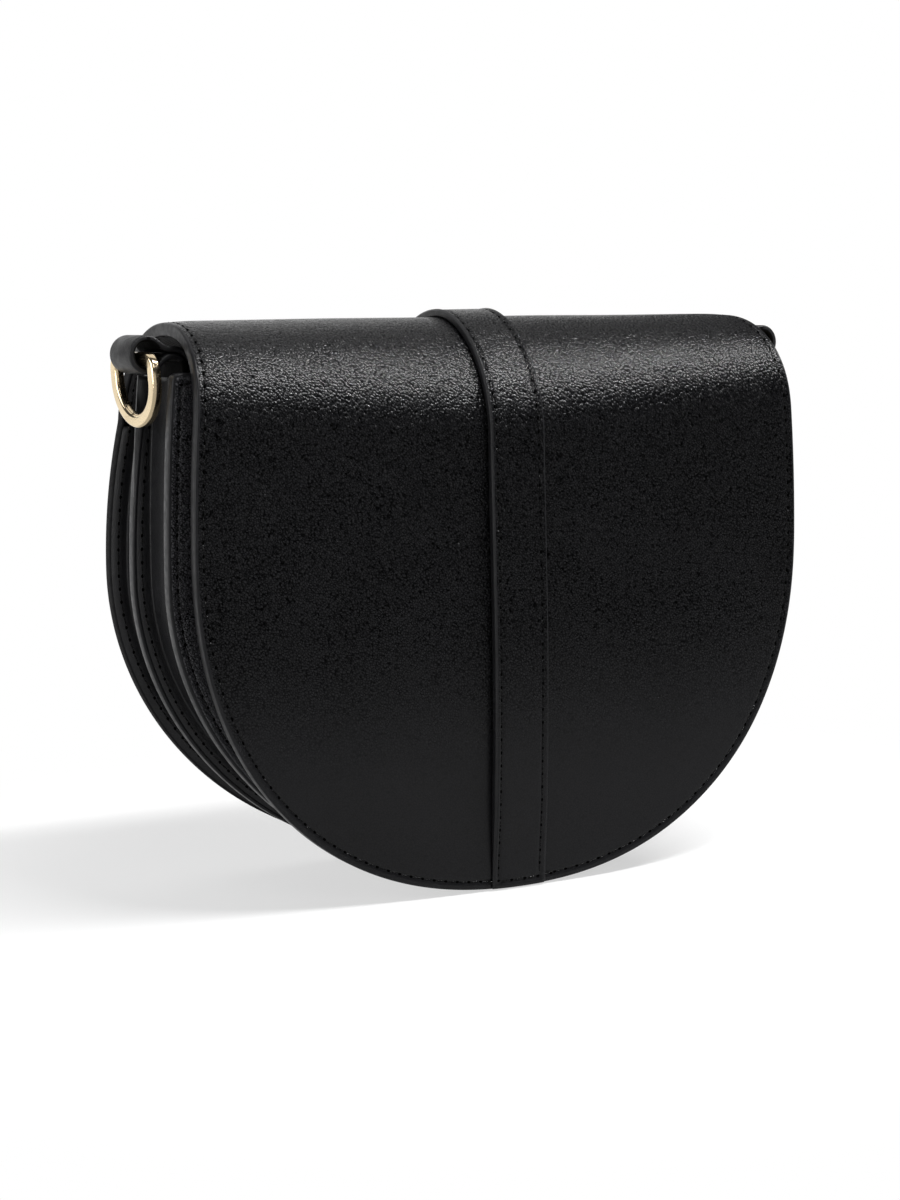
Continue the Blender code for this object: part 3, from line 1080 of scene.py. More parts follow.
@dataclass
class CutSheet:
    """A piece cut from sheet and laid on a surface, with a rounded rim."""

    name: str
    surface: Surface
    outline: Array
    thickness: float
    depth: float = 0.0
    rim: float = 0.0007
    step: float = 0.0015
    grid: float = 0.0032
    grid_from: float = 0.0095
    rings: Sequence[float] = (
        0.0013, 0.0018, 0.0022, 0.0025, 0.0028, 0.0031, 0.0036, 0.0045, 0.0060, 0.0080,
    )
    ring_slack: float = 0.00003
    corner: float = 0.0
    groove_at: float = 0.0
    groove: float = 0.00022
    groove_width: float = 0.00055
    ridge: float = 0.00010
    ridge_width: float = 0.0008
    rim_sides: int = 3
    sink: Sequence[Point] = ((0.0, 0.0), (1.0, 0.0))

    def sunk(self, along: Array) -> Array:
        """How far the outer face sinks along a strap, smoothly between the given stations.

        Args:
            along: places along the pattern.

        Returns:
            The distances.
        """
        at, depths = (np.array(column) for column in zip(*self.sink))
        low = np.clip(np.searchsorted(at, along) - 1, 0, len(at) - 2)
        share = np.clip((along - at[low]) / (at[low + 1] - at[low]), 0, 1)
        return depths[low] + (depths[low + 1] - depths[low]) * ease(share)

    def relief(self, away: Array) -> Array:
        """How far the outer face sinks at a distance from the cut edge.

        Args:
            away: distances to the cut edge.

        Returns:
            How far it sinks.
        """
        if not self.groove_at:
            return np.zeros(len(away))
        groove = self.groove * np.exp(-(((away - self.groove_at) / self.groove_width) ** 2))
        return groove - self.ridge * np.exp(-(((away - self.groove_at * 0.45) / self.ridge_width) ** 2))

    def filled(self, outline: Array, normals: Array) -> tuple[Array, list[list[int]], list[int]]:
        """Fills the outline with triangles, finer near the cut edge.

        Args:
            outline: the cut edge.
            normals: its unit normals.

        Returns:
            The points, the triangles and the numbers of the points along the rim.
        """
        count = len(outline)
        pattern = [outline + normals * self.rim]
        for inset in self.rings:
            ring = outline + normals * inset
            pattern.append(ring[distance_to(outline, ring) > inset - self.ring_slack])
        low, high = outline.min(axis=0), outline.max(axis=0)
        across, up = np.arange(low[0], high[0], self.grid), np.arange(low[1], high[1], self.grid * ROW_STEP)
        u, v = np.meshgrid(across, up)
        u[1::2] += self.grid / 2
        grid = np.stack([u.ravel(), v.ravel()], axis=1)
        grid = grid[inside(outline, grid)]
        pattern.append(grid[distance_to(outline, grid) > self.grid_from])
        flat = [Vector(point) for point in np.vstack(pattern) / MM]
        made = delaunay_2d_cdt(flat, [], [list(range(count))], 1, 1e-5)
        points = np.array([tuple(point) for point in made[0]]) * MM
        new_of = {old[0]: new for new, old in enumerate(made[3]) if old and old[0] < count}
        return points, [list(face) for face in made[2]], [new_of[index] for index in range(count)]

    def build(self, face: Material, edge: Material | None = None) -> Object:
        """Builds the piece.

        Args:
            face: material of both faces.
            edge: material of the rim, where that is another one.

        Returns:
            The object.
        """
        cut = with_round_corners(self.outline, self.corner) if self.corner else self.outline
        outline = resampled(cut, self.step)
        normals = left_normals(outline)
        points, triangles, loop = self.filled(outline, normals)
        away, shift, count = distance_to(outline, points), len(points), len(outline)
        outer = self.surface.place(points, self.depth + self.relief(away) + self.sunk(points[:, 1]))
        vertices = [outer, self.surface.place(points, np.full(shift, self.depth + self.thickness))]
        faces = triangles + [[index + shift for index in reversed(corners)] for corners in triangles]
        slots = [0] * len(triangles) + [2] * len(triangles)

        angles = np.linspace(0, RIGHT_ANGLE, self.rim_sides + 1)[1:]
        profile = [(self.rim * (1 - math.sin(a)), self.rim * (1 - math.cos(a))) for a in angles]
        profile += [(inset, self.thickness - deep) for inset, deep in reversed(profile)]
        rows = [loop]
        for number, (inset, deep) in enumerate(profile):
            shallow = self.sunk(outline[:, 1]) * (1 - deep / self.thickness)
            vertices.append(self.surface.place(outline + normals * inset, self.depth + deep + shallow))
            base = 2 * shift + number * count
            rows.append(list(range(base, base + count)))
        rows.append([index + shift for index in loop])
        for above, below in zip(rows, rows[1:]):
            for index in range(count):
                after = (index + 1) % count
                faces.append([above[index], below[index], below[after], above[after]])
        slots += [1] * (len(faces) - len(slots))
        obj = mesh_object(self.name, np.vstack(vertices), faces, (face, edge or face, face), slots)
        distances = np.concatenate([away, away, np.zeros(len(profile) * count)])
        attribute = obj.data.attributes.new("edge_distance", "FLOAT", "POINT")
        attribute.data.foreach_set("value", distances.astype(np.float32))
        return obj


def swept(name: str, rows: Array, closed: bool, material: Material, strip: bool = False) -> Object:
    """Joins equal rows of points into a closed skin.

    Args:
        name: the object's name.
        rows: points as (row, point in row, xyz); each row is a closed section.
        closed: whether the last row joins the first one.
        material: its material.
        strip: whether a section is a thin band, which changes how the ends are closed.

    Returns:
        The object.
    """
    count, width = rows.shape[:2]
    faces = []
    for row in range(count if closed else count - 1):
        here, there = row * width, (row + 1) % count * width
        for index in range(width):
            beside = (index + 1) % width
            faces.append([here + index, here + beside, there + beside, there + index])
    for base in () if closed else (0, (count - 1) * width):
        if strip:
            far = base + width - 1
            faces += [[base + i, base + i + 1, far - i - 1, far - i] for i in range(width // 2 - 1)]
        else:
            faces.append(list(range(base, base + width)))
    return mesh_object(name, rows.reshape(-1, 3), faces, (material,))


def arc(centre: Point, radius: float, start: float, end: float, steps: int) -> list[Point]:
    """Points on an arc, from the start angle to the end angle."""
    angles = np.linspace(start, end, steps + 1)
    return [(centre[0] + radius * math.cos(a), centre[1] + radius * math.sin(a)) for a in angles]


def round_section(width: float, height: float, radius: float, steps: int = 4) -> Array:
    """The closed outline of a rectangle with round corners, centred on zero.

    Args:
        width: size along the first axis.
        height: size along the second axis.
        radius: of its corners.
        steps: faces in each corner.

    Returns:
        Points, counterclockwise.
    """
    points = []
    for turns, (across, up) in enumerate(((1, 1), (-1, 1), (-1, -1), (1, -1))):
        centre = (across * (width / 2 - radius), up * (height / 2 - radius))
        points += arc(centre, radius, turns * RIGHT_ANGLE, (turns + 1) * RIGHT_ANGLE, steps)
    return np.array(points)


def laid(surface: Surface, line: Array, closed: bool, section: Array) -> Array:
    """Lays a section along a line of a pattern.

    Args:
        surface: what the line lies on.
        line: points of the pattern.
        closed: whether the line runs all round.
        section: points (inset, depth).

    Returns:
        One row of points (x, y, z) for each point of the line.
    """
    normals = left_normals(line, closed)
    columns = [surface.place(line + normals * inset, np.full(len(line), deep)) for inset, deep in section]
    return np.stack(columns, axis=1)


@dataclass
class PaintedEdge:
    """A rounded band of paint over the stacked edges of the layers."""

    name: str
    surface: Surface
    line: Array
    stack: float
    closed: bool = True
    depth: float = 0.0
    proud: float = 0.00015
    cover: float = 0.0013
    wider: float = 0.0001
    radius: float = 0.00062
    step: float = 0.0012

    def build(self, paint: Material) -> Object:
        """Builds the band.

        Args:
            paint: its material.

        Returns:
            The band.
        """
        section = round_section(self.cover + self.proud, self.stack + self.wider, self.radius)
        section = section + ((self.cover - self.proud) / 2, self.depth + self.stack / 2)
        line = resampled(self.line, self.step) if self.closed else self.line
        return swept(self.name, laid(self.surface, line, self.closed, section), self.closed, paint)


# Stitches


@dataclass
class StitchTree:
    """The geometry nodes that sew a row of stitches along a line."""

    pitch: float = 0.0040
    length: float = 0.0030
    thickness: float = 0.00042
    rise: float = -0.00004
    hole: float = 0.0012
    hole_depth: float = 0.00044
    seed: int = 7

    @staticmethod
    def instances(graph: NodeGraph, rings: int, shape: dict, points: dict, material: Material) -> Socket:
        """Puts flattened balls on points.

        Args:
            graph: the tree's graph.
            rings: how finely the ball is divided.
            shape: its scale and translation.
            points: the points and the rotation on them.
            material: its material.

        Returns:
            The instances.
        """
        ball = graph.out("GeometryNodeMeshUVSphere", {"Segments": 8, "Rings": rings, "Radius": 0.5})
        flat = graph.out("GeometryNodeTransform", {"Geometry": ball, **shape})
        placed = graph.out("GeometryNodeInstanceOnPoints", {"Instance": flat, **points})
        return graph.out("GeometryNodeSetMaterial", {"Geometry": placed, "Material": material})

    def build(self, thread: Material, hole: Material) -> bpy.types.NodeTree:
        """Builds the node tree.

        Args:
            thread: material of the stitches.
            hole: material of the dark discs at the needle holes, painted shade in place of their shaded
                insides.

        Returns:
            The tree.
        """
        tree = bpy.data.node_groups.new("stitch_row", "GeometryNodeTree")
        sockets = tree.interface
        sockets.new_socket(name="Line", in_out="INPUT", socket_type="NodeSocketGeometry")
        for size in ("pitch", "length", "thickness", "rise", "hole", "seed"):
            kind = "NodeSocketInt" if size == "seed" else "NodeSocketFloat"
            socket = sockets.new_socket(name=size.title(), in_out="INPUT", socket_type=kind)
            socket.default_value = getattr(self, size)
        sockets.new_socket(name="Stitches", in_out="OUTPUT", socket_type="NodeSocketGeometry")
        graph = NodeGraph(tree)
        given = graph.node("NodeGroupInput").outputs
        curve = graph.out("GeometryNodeMeshToCurve", {"Mesh": given["Line"]})
        even = {"Curve": curve, "Length": given["Pitch"]}
        spaced = graph.out("GeometryNodeResampleCurve", even, mode="LENGTH")
        tangent = graph.out("GeometryNodeInputTangent")
        up = graph.out("GeometryNodeInputNamedAttribute", {"Name": "up"}, data_type="FLOAT_VECTOR")
        first = graph.out("FunctionNodeAlignRotationToVector", {"Vector": tangent}, axis="X")
        facing = {"Rotation": first, "Vector": up}
        turned = graph.out("FunctionNodeAlignRotationToVector", facing, axis="Z", pivot_axis="X")
        spread = {0: (0.0, -0.06, 0.03), 1: (0.0, 0.06, 0.13), "Seed": given["Seed"]}
        wobble = graph.out("FunctionNodeRandomValue", spread, data_type="FLOAT_VECTOR")
        tilt = graph.out("FunctionNodeEulerToRotation", {0: wobble})
        turn = graph.out("FunctionNodeRotateRotation", {0: turned, 1: tilt}, rotation_space="LOCAL")

        size = graph.vector(X=given["Length"], Y=given["Thickness"], Z=given["Thickness"])
        shape = {"Scale": size, "Translation": graph.vector(Z=given["Rise"])}
        sewn = self.instances(graph, 6, shape, {"Points": spaced, "Rotation": turn}, thread)
        # Dark discs at the holes stand in for their shaded insides, as painted shade.
        size = graph.vector(X=given["Hole"], Y=graph.times(given["Hole"], 0.68), Z=self.hole_depth)
        shape = {"Scale": size, "Translation": graph.vector(X=graph.times(given["Pitch"], 0.5))}
        painted_hole_shade = self.instances(graph, 4, shape, {"Points": spaced, "Rotation": turned}, hole)
        both = graph.node("GeometryNodeJoinGeometry")
        for geometry in (painted_hole_shade, sewn):
            tree.links.new(geometry, both.inputs[0])
        real = graph.out("GeometryNodeRealizeInstances", {"Geometry": both.outputs[0]})
        smooth = graph.out("GeometryNodeSetShadeSmooth", {"Geometry": real})
        graph.feed(graph.node("NodeGroupOutput"), {0: smooth})
        return tree


@dataclass
class SewingMachine:
    """Sews rows of stitches and turns each set into one plain mesh."""

    tree: bpy.types.NodeTree

    def sew(self, name: str, rows: Sequence[Row], **sizes: float) -> Object:
        """Sews a set of rows.

        Args:
            name: the object's name.
            rows: for each row its points, its outward directions and whether it is closed.
            sizes: inputs of the tree by name that differ from its own values.

        Returns:
            The stitches.
        """
        edges = []
        base = 0
        for line, _, closed in rows:
            count = len(line)
            edges += [(base + index, base + index + 1) for index in range(count - 1)]
            if closed:
                edges.append((base + count - 1, base))
            base += count
        mesh = bpy.data.meshes.new(name + "_line")
        mesh.from_pydata([tuple(point) for line, _, _ in rows for point in line], edges, [])
        attribute = mesh.attributes.new("up", "FLOAT_VECTOR", "POINT")
        ups = np.vstack([up for _, up, _ in rows])
        attribute.data.foreach_set("vector", ups.astype(np.float32).ravel())
        guide = linked(name + "_line", mesh)
        modifier = guide.modifiers.new("Stitches", "NODES")
        modifier.node_group = self.tree
        for item in self.tree.interface.items_tree:
            if item.item_type == "SOCKET" and item.in_out == "INPUT" and item.name in sizes:
                modifier[item.identifier] = sizes[item.name]
        bpy.context.view_layer.update()
        sewn = bpy.data.meshes.new_from_object(guide.evaluated_get(bpy.context.evaluated_depsgraph_get()))
        sewn.name = name
        guide.modifiers.remove(modifier)
        bpy.data.objects.remove(guide)
        return linked(name, sewn)


def row_on(
    surface: Surface, line: Array, depth: float | Array, closed: bool = False, flip: float = 1.0
) -> Row:
    """A row of stitches that lies on a surface.

    Args:
        surface: what it lies on.
        line: points of the pattern.
        depth: how deep behind the outer face.
        closed: whether it runs all round.
        flip: -1 where the stitches lie on the inner face.

    Returns:
        Its points, its outward directions and whether it is closed.
    """
    return surface.place(line, depth + np.zeros(len(line))), surface.normals(line) * flip, closed


# Sub-assemblies


def dress(obj: Object, slot: Slot, *nodes: str) -> Object:
    """Hides the CAD nodes that a piece stands for, and logs how many faces it has.

    Args:
        obj: the piece.
        slot: its material slot; not used.
        nodes: the CAD nodes, if any.

    Returns:
        The piece.
    """
    if nodes:
        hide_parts(*nodes)
    log.info("%s: %d faces", obj.name, len(obj.data.polygons))
    return obj


def keep_part(mesh: bpy.types.Mesh, behind: bool) -> None:
    """Cuts a mesh behind the roll, keeps one part of it and closes that.

    Args:
        mesh: the mesh, which is changed.
        behind: whether the part below the cut, at the back of the bag, is kept.
    """
    bm = bmesh.new()
    bm.from_mesh(mesh)
    axis = Vector(ROLL_AXIS)
    normal = Vector((0.0, -math.sin(CUT_ANGLE), math.cos(CUT_ANGLE)))
    faces = [face for face in bm.faces if face.calc_center_median().y > 0]
    edges = dict.fromkeys(edge for face in faces for edge in face.edges)
    verts = dict.fromkeys(vert for face in faces for vert in face.verts)
    geometry = faces + list(edges) + list(verts)
    bmesh.ops.bisect_plane(bm, geom=geometry, dist=1e-7, plane_co=axis, plane_no=normal)
    dropped = []
    for face in bm.faces:
        centre = face.calc_center_median()
        if (centre.y > 0 and (centre - axis).dot(normal) < 0) != behind:
            dropped.append(face)
    bmesh.ops.delete(bm, geom=dropped, context="FACES")
    rim = [edge for edge in bm.edges if edge.is_boundary]
    for face in bmesh.ops.holes_fill(bm, edges=rim, sides=0)["faces"]:
        face.smooth = False
    for edge in rim:
        edge.smooth = False
    bm.to_mesh(mesh)
    bm.free()


def over_roll(obj: Object) -> None:
    """Lets a piece turn with the flap, and cuts off the part of it at the back, which stays where it is.

    Args:
        obj: the piece, which loses its back part to a new one.
    """
    mesh = obj.data.copy()
    mesh.name = obj.name + "_back"
    back = linked(mesh.name, mesh)
    keep_part(mesh, True)
    keep_part(obj.data, False)
    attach(obj, Body.FLAP.value)
    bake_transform(back)


@dataclass
class SubAssembly:
    """What every sub-assembly has: the materials, and a machine that sews."""

    shop: Workshop
    machine: SewingMachine


@dataclass
class OuterLeather(SubAssembly):
    """The one-piece leather of flap, roll and back, its lining and its painted edge."""

    flap: HalfMoon
    body: HalfMoon
    surface: RolledSurface
    leather: float = 0.0026
    gap: float = 0.0003
    lining: float = 0.0010
    lining_inset: float = 0.0010
    stitch_inset: float = 0.0024
    strap_half: float = 0.0096
    hinge_gap: float = 0.004
    least_points: int = 5

    def build(self) -> None:
        """Builds and dresses the pieces."""
        outline = self.surface.outline(self.flap, self.body)
        sheet = CutSheet("outer_leather", self.surface, outline, self.leather, groove_at=self.stitch_inset)
        cut = sheet.build(self.shop.leather, self.shop.paint)
        over_roll(dress(cut, Slot.LEATHER, "flap_panel", "back_panel"))

        stack = self.leather + self.gap + self.lining
        edge = PaintedEdge("outer_edge", self.surface, outline, stack).build(self.shop.paint)
        over_roll(dress(edge, Slot.LEATHER))
        self.build_lining(stack - self.lining)

        even = resampled(outline, STITCH_STEP)
        line = even + left_normals(even) * self.stitch_inset
        beside = np.flatnonzero(np.abs(line[:, 0]) >= self.strap_half)
        rows = []
        for part in np.split(beside, np.flatnonzero(np.diff(beside) > 1) + 1):
            rows.append(row_on(self.surface, line[part], STITCH_DEPTH))
            front = part[even[part][:, 1] < self.surface.hinge_s - self.hinge_gap]
            if len(front) >= self.least_points:
                rows.append(row_on(self.surface, line[front], stack, flip=-1.0))
        over_roll(dress(self.machine.sew("outer_stitches", rows), Slot.LEATHER))

    def build_lining(self, depth: float) -> None:
        """Builds the lining under the flap and the roll.

        Args:
            depth: of the lining's outer face.
        """
        surface, inset = self.surface, self.lining_inset
        s = np.linspace(surface.front_end, surface.hinge_s - 0.001, 80)[1:]
        roll = np.stack([self.flap.half - inset - self.flap.drawn_in(surface.height(s)), s], axis=1)
        right = np.vstack([self.flap.side(surface.front_end, inset=inset), roll])
        outline = np.vstack([right, right[:0:-1] * (-1, 1)])
        sizes = {"rim": 0.0003, "corner": 0.002, "grid": 0.0042}
        sheet = CutSheet("inner_lining", surface, outline, self.lining, depth, **sizes)
        over_roll(dress(sheet.build(self.shop.lining), Slot.LINING, "flap_lining"))


@dataclass
class CentreStrap(SubAssembly):
    """The strap that runs over flap and back, with a row of stitches along each edge."""

    outer: OuterLeather
    half: float = 0.00925
    proud: float = 0.0029
    stitch_inset: float = 0.0020

    def build(self) -> None:
        """Builds and dresses the strap."""
        outer, surface = self.outer, self.outer.surface
        hinge, end = surface.hinge_s, surface.hinge_s + HINGE
        front, back = self.foot(outer.flap), self.foot(outer.body)[::-1]
        back[:, 1] = end - back[:, 1]
        top = hinge - surface.roll_length / 2
        stations = (
            (0.0, 0.0021), (0.030, 0.0002), (0.045, 0.0), (0.110, 0.0), (top - 0.020, 0.0006),
            (top + 0.020, 0.0006), (hinge + 0.015, 0.0003), (hinge + 0.03, 0.0002), (end - 0.03, 0.0002),
            (end, 0.0021),
        )
        sheet = CutSheet(
            "centre_strap", surface, np.vstack([front, back]), self.proud - 0.00005, -self.proud, 0.0007,
            grid=0.0024, groove_at=self.stitch_inset, groove=0.00045, ridge=0.00022, rim_sides=5,
            sink=stations,
        )
        strap = sheet.build(self.shop.leather, self.shop.smooth)
        over_roll(dress(strap, Slot.LEATHER, "strap_front", "strap_back"))

        inset = self.half - self.stitch_inset
        along = np.linspace(front[0][1] + outer.stitch_inset + 0.002, end - outer.stitch_inset - 0.003, 500)
        lines = [(np.stack([np.full(500, side * inset), along], axis=1), 0.0004) for side in (-1, 1)]
        lines += [(front + (0, outer.stitch_inset), 0.0002), (back - (0, outer.stitch_inset), 0.0002)]
        rows = [row_on(surface, line, sheet.sunk(line[:, 1]) - self.proud + deep) for line, deep in lines]
        over_roll(dress(self.machine.sew("strap_stitches", rows), Slot.LEATHER))

    def foot(self, cut: HalfMoon) -> Array:
        """The strap's end, which follows the foot of a panel, from -X to +X.

        Args:
            cut: the panel's cut.

        Returns:
            Points of the pattern.
        """
        side = cut.side(cut.top)
        x = np.linspace(-self.half, self.half, 13)
        return np.stack([x, np.interp(np.abs(x), side[:, 0], side[:, 1])], axis=1)


@dataclass
class Compartments(SubAssembly):
    """The front panel, divider, gussets and linings of the body."""

    moon: HalfMoon
    top: float = 0.1595
    front_y: float = -0.0215
    leather: float = 0.0026
    divider_y: float = 0.0095
    divider_leather: float = 0.0010
    divider_inset: float = 0.0004
    divider_dip: float = 0.003
    back_y: float = 0.0304
    gap: float = 0.0003
    flange: float = 0.0055
    gusset_leather: float = 0.0012
    bend: float = 0.0012
    proud: float = 0.0038
    divider_draw: float = 0.0020
    divider_drop: float = 0.0020
    fold: float = 0.0019
    fold_width: float = 0.11
    bulge: float = 0.0009
    rim_drop: float = 0.0010
    dip: float = 0.0055
    corner: float = 0.003
    lining: float = 0.0008
    lining_gap: float = 0.0012
    stitch_inset: float = 0.0026

    def build(self) -> None:
        """Builds and dresses the body's pieces."""
        self.panels()
        front, divider = self.front_y + self.leather + self.gap, self.divider_y - self.gap
        self.gusset("front", front, divider, 0.0)
        behind = self.divider_y + self.divider_leather + self.gap
        self.gusset("rear", behind, self.back_y - self.gap, self.proud)
        self.stitches()

    def ride(self, obj: Object, slot: Slot, *nodes: str) -> None:
        """Puts a piece on the bag's body."""
        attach(dress(obj, slot, *nodes), Body.BAG.value)

    @property
    def front_outline(self) -> Array:
        """The outline of the front panel, with round upper corners."""
        return with_round_corners(self.moon.panel(self.top, 0.0, self.dip), self.corner)

    def panels(self) -> None:
        """Builds the front panel, the divider, their painted edges and the linings."""
        face = FlatSurface(self.front_y, Side.FRONT)
        outline = self.front_outline
        sizes = {"groove_at": self.stitch_inset, "grid": 0.004}
        sheet = CutSheet("front_leather_with_painted_light", face, outline, self.leather, **sizes)
        # The front panel wears the leather copy painted lighter, as painted light.
        panel = sheet.build(self.shop.front, self.shop.paint)
        self.ride(panel, Slot.LEATHER, "front_panel")
        flange = self.gap + self.gusset_leather
        edge = PaintedEdge("front_edge", face, outline, self.leather + flange)
        self.ride(edge.build(self.shop.paint), Slot.LEATHER)
        inset = self.flange + self.gusset_leather + self.lining_gap
        outline = self.moon.panel(self.top - self.lining_gap, 0.0, self.dip, inset)
        self.pocket("front", face, outline, self.leather + 0.0001)

        face = FlatSurface(self.divider_y, Side.FRONT)
        top = self.top - self.divider_drop
        outline = self.moon.panel(top, self.divider_draw, self.divider_dip, self.divider_inset)
        outline = with_round_corners(outline, self.corner)
        sheet = CutSheet("divider_cloth", face, outline, self.divider_leather, rim=0.0004, grid=0.005)
        divider = sheet.build(self.shop.lining, self.shop.paint)
        self.ride(divider, Slot.LINING, "divider_panel")
        line = self.moon.rim(self.top - self.rim_drop, self.divider_draw)
        edge = PaintedEdge("middle_edge", face, line, 2 * flange + self.divider_leather, False, -flange)
        self.ride(edge.build(self.shop.paint), Slot.LEATHER)

        outline = self.moon.panel(HINGE - self.lining_gap, self.proud, 0.0, inset)
        self.pocket("back", FlatSurface(self.back_y, Side.FRONT), outline, -0.0010)

    def pocket(self, where: str, face: Surface, outline: Array, depth: float) -> None:
        """Builds the lining of a panel.

        Args:
            where: which panel.
            face: the panel's outer face.
            outline: of the lining.
            depth: of the lining behind that face.
        """
        name = where + "_pocket_lining"
        sheet = CutSheet(name, face, outline, self.lining, depth, 0.0002, corner=0.002, grid=0.005)
        self.ride(sheet.build(self.shop.lining), Slot.LINING, where + "_lining")

    def gusset(self, where: str, front: float, back: float, extra: float) -> None:
        """Builds one gusset: a web with a soft crease between two flanges that turn outwards.

        Args:
            where: which compartment it is round.
            front: Y of its front face.
            back: Y of its back face.
            extra: how far it draws in to the hinge line.
        """
        half, bend, depth = self.gusset_leather / 2, self.bend, back - front
        deep = self.flange + half
        flange = [(0.0004, half), (deep - bend - 0.001, half)]
        flange += arc((deep - bend, half + bend), bend, -RIGHT_ANGLE, 0, 4)
        web = []
        for share in np.linspace(0, 1, 15)[1:-1]:
            crease = self.fold * math.exp(-(((share - 0.5) / self.fold_width) ** 2))
            bulge = self.bulge * math.sin(math.pi * share)
            web.append((deep + crease + bulge, half + bend + (depth - 2 * half - 2 * bend) * share))
        middle = np.array(flange + web + [(inset, depth - y) for inset, y in reversed(flange)])
        aside = left_normals(middle, False) * half * 0.98
        section = np.vstack([middle + aside, (middle - aside)[::-1]])
        line = self.moon.rim(self.top - self.rim_drop, extra)
        rows = laid(FlatSurface(front, Side.FRONT), line, False, section)
        if extra:
            self.keep_under_roll(rows)
        gusset = swept(where + "_gusset_leather", rows, False, self.shop.smooth, strip=True)
        self.ride(gusset, Slot.LEATHER, where + "_gusset")

    @staticmethod
    def keep_under_roll(rows: Array) -> None:
        """Lowers the top of the rear gusset to just below the lining of the roll.

        Args:
            rows: points (x, y, z), which are changed.
        """
        reach, rise, power, gap = 0.0281, 0.0253, 2.2, 0.0015
        share = np.clip(rows[..., 1] / reach, 0, 1)
        ceiling = HINGE + rise * np.maximum(1 - share**power, 0) ** (1 / power) - gap
        rows[..., 2] = np.minimum(rows[..., 2], ceiling)

    def stitches(self) -> None:
        """Sews the panels to the flanges."""
        front = resampled(self.front_outline, STITCH_STEP)
        line = front + left_normals(front) * self.stitch_inset
        rows = [row_on(FlatSurface(self.front_y, Side.FRONT), line, STITCH_DEPTH, True)]
        flange = self.gap + self.gusset_leather
        plan = (
            (self.divider_y - flange, Side.FRONT, self.divider_draw, self.top - 0.002),
            (self.divider_y + self.divider_leather + flange, Side.BACK, self.proud, 0.153),
            (self.back_y - flange, Side.FRONT, self.proud, 0.1435),
            (self.front_y + self.leather + flange, Side.BACK, 0.0, self.top - 0.002),
        )
        for y, side, extra, top in plan:
            line = self.moon.rim(top, extra)
            sewn = line + left_normals(line, False) * self.stitch_inset
            rows.append(row_on(FlatSurface(y, side), sewn, 0.0))
        self.ride(self.machine.sew("body_stitches", rows), Slot.LEATHER)


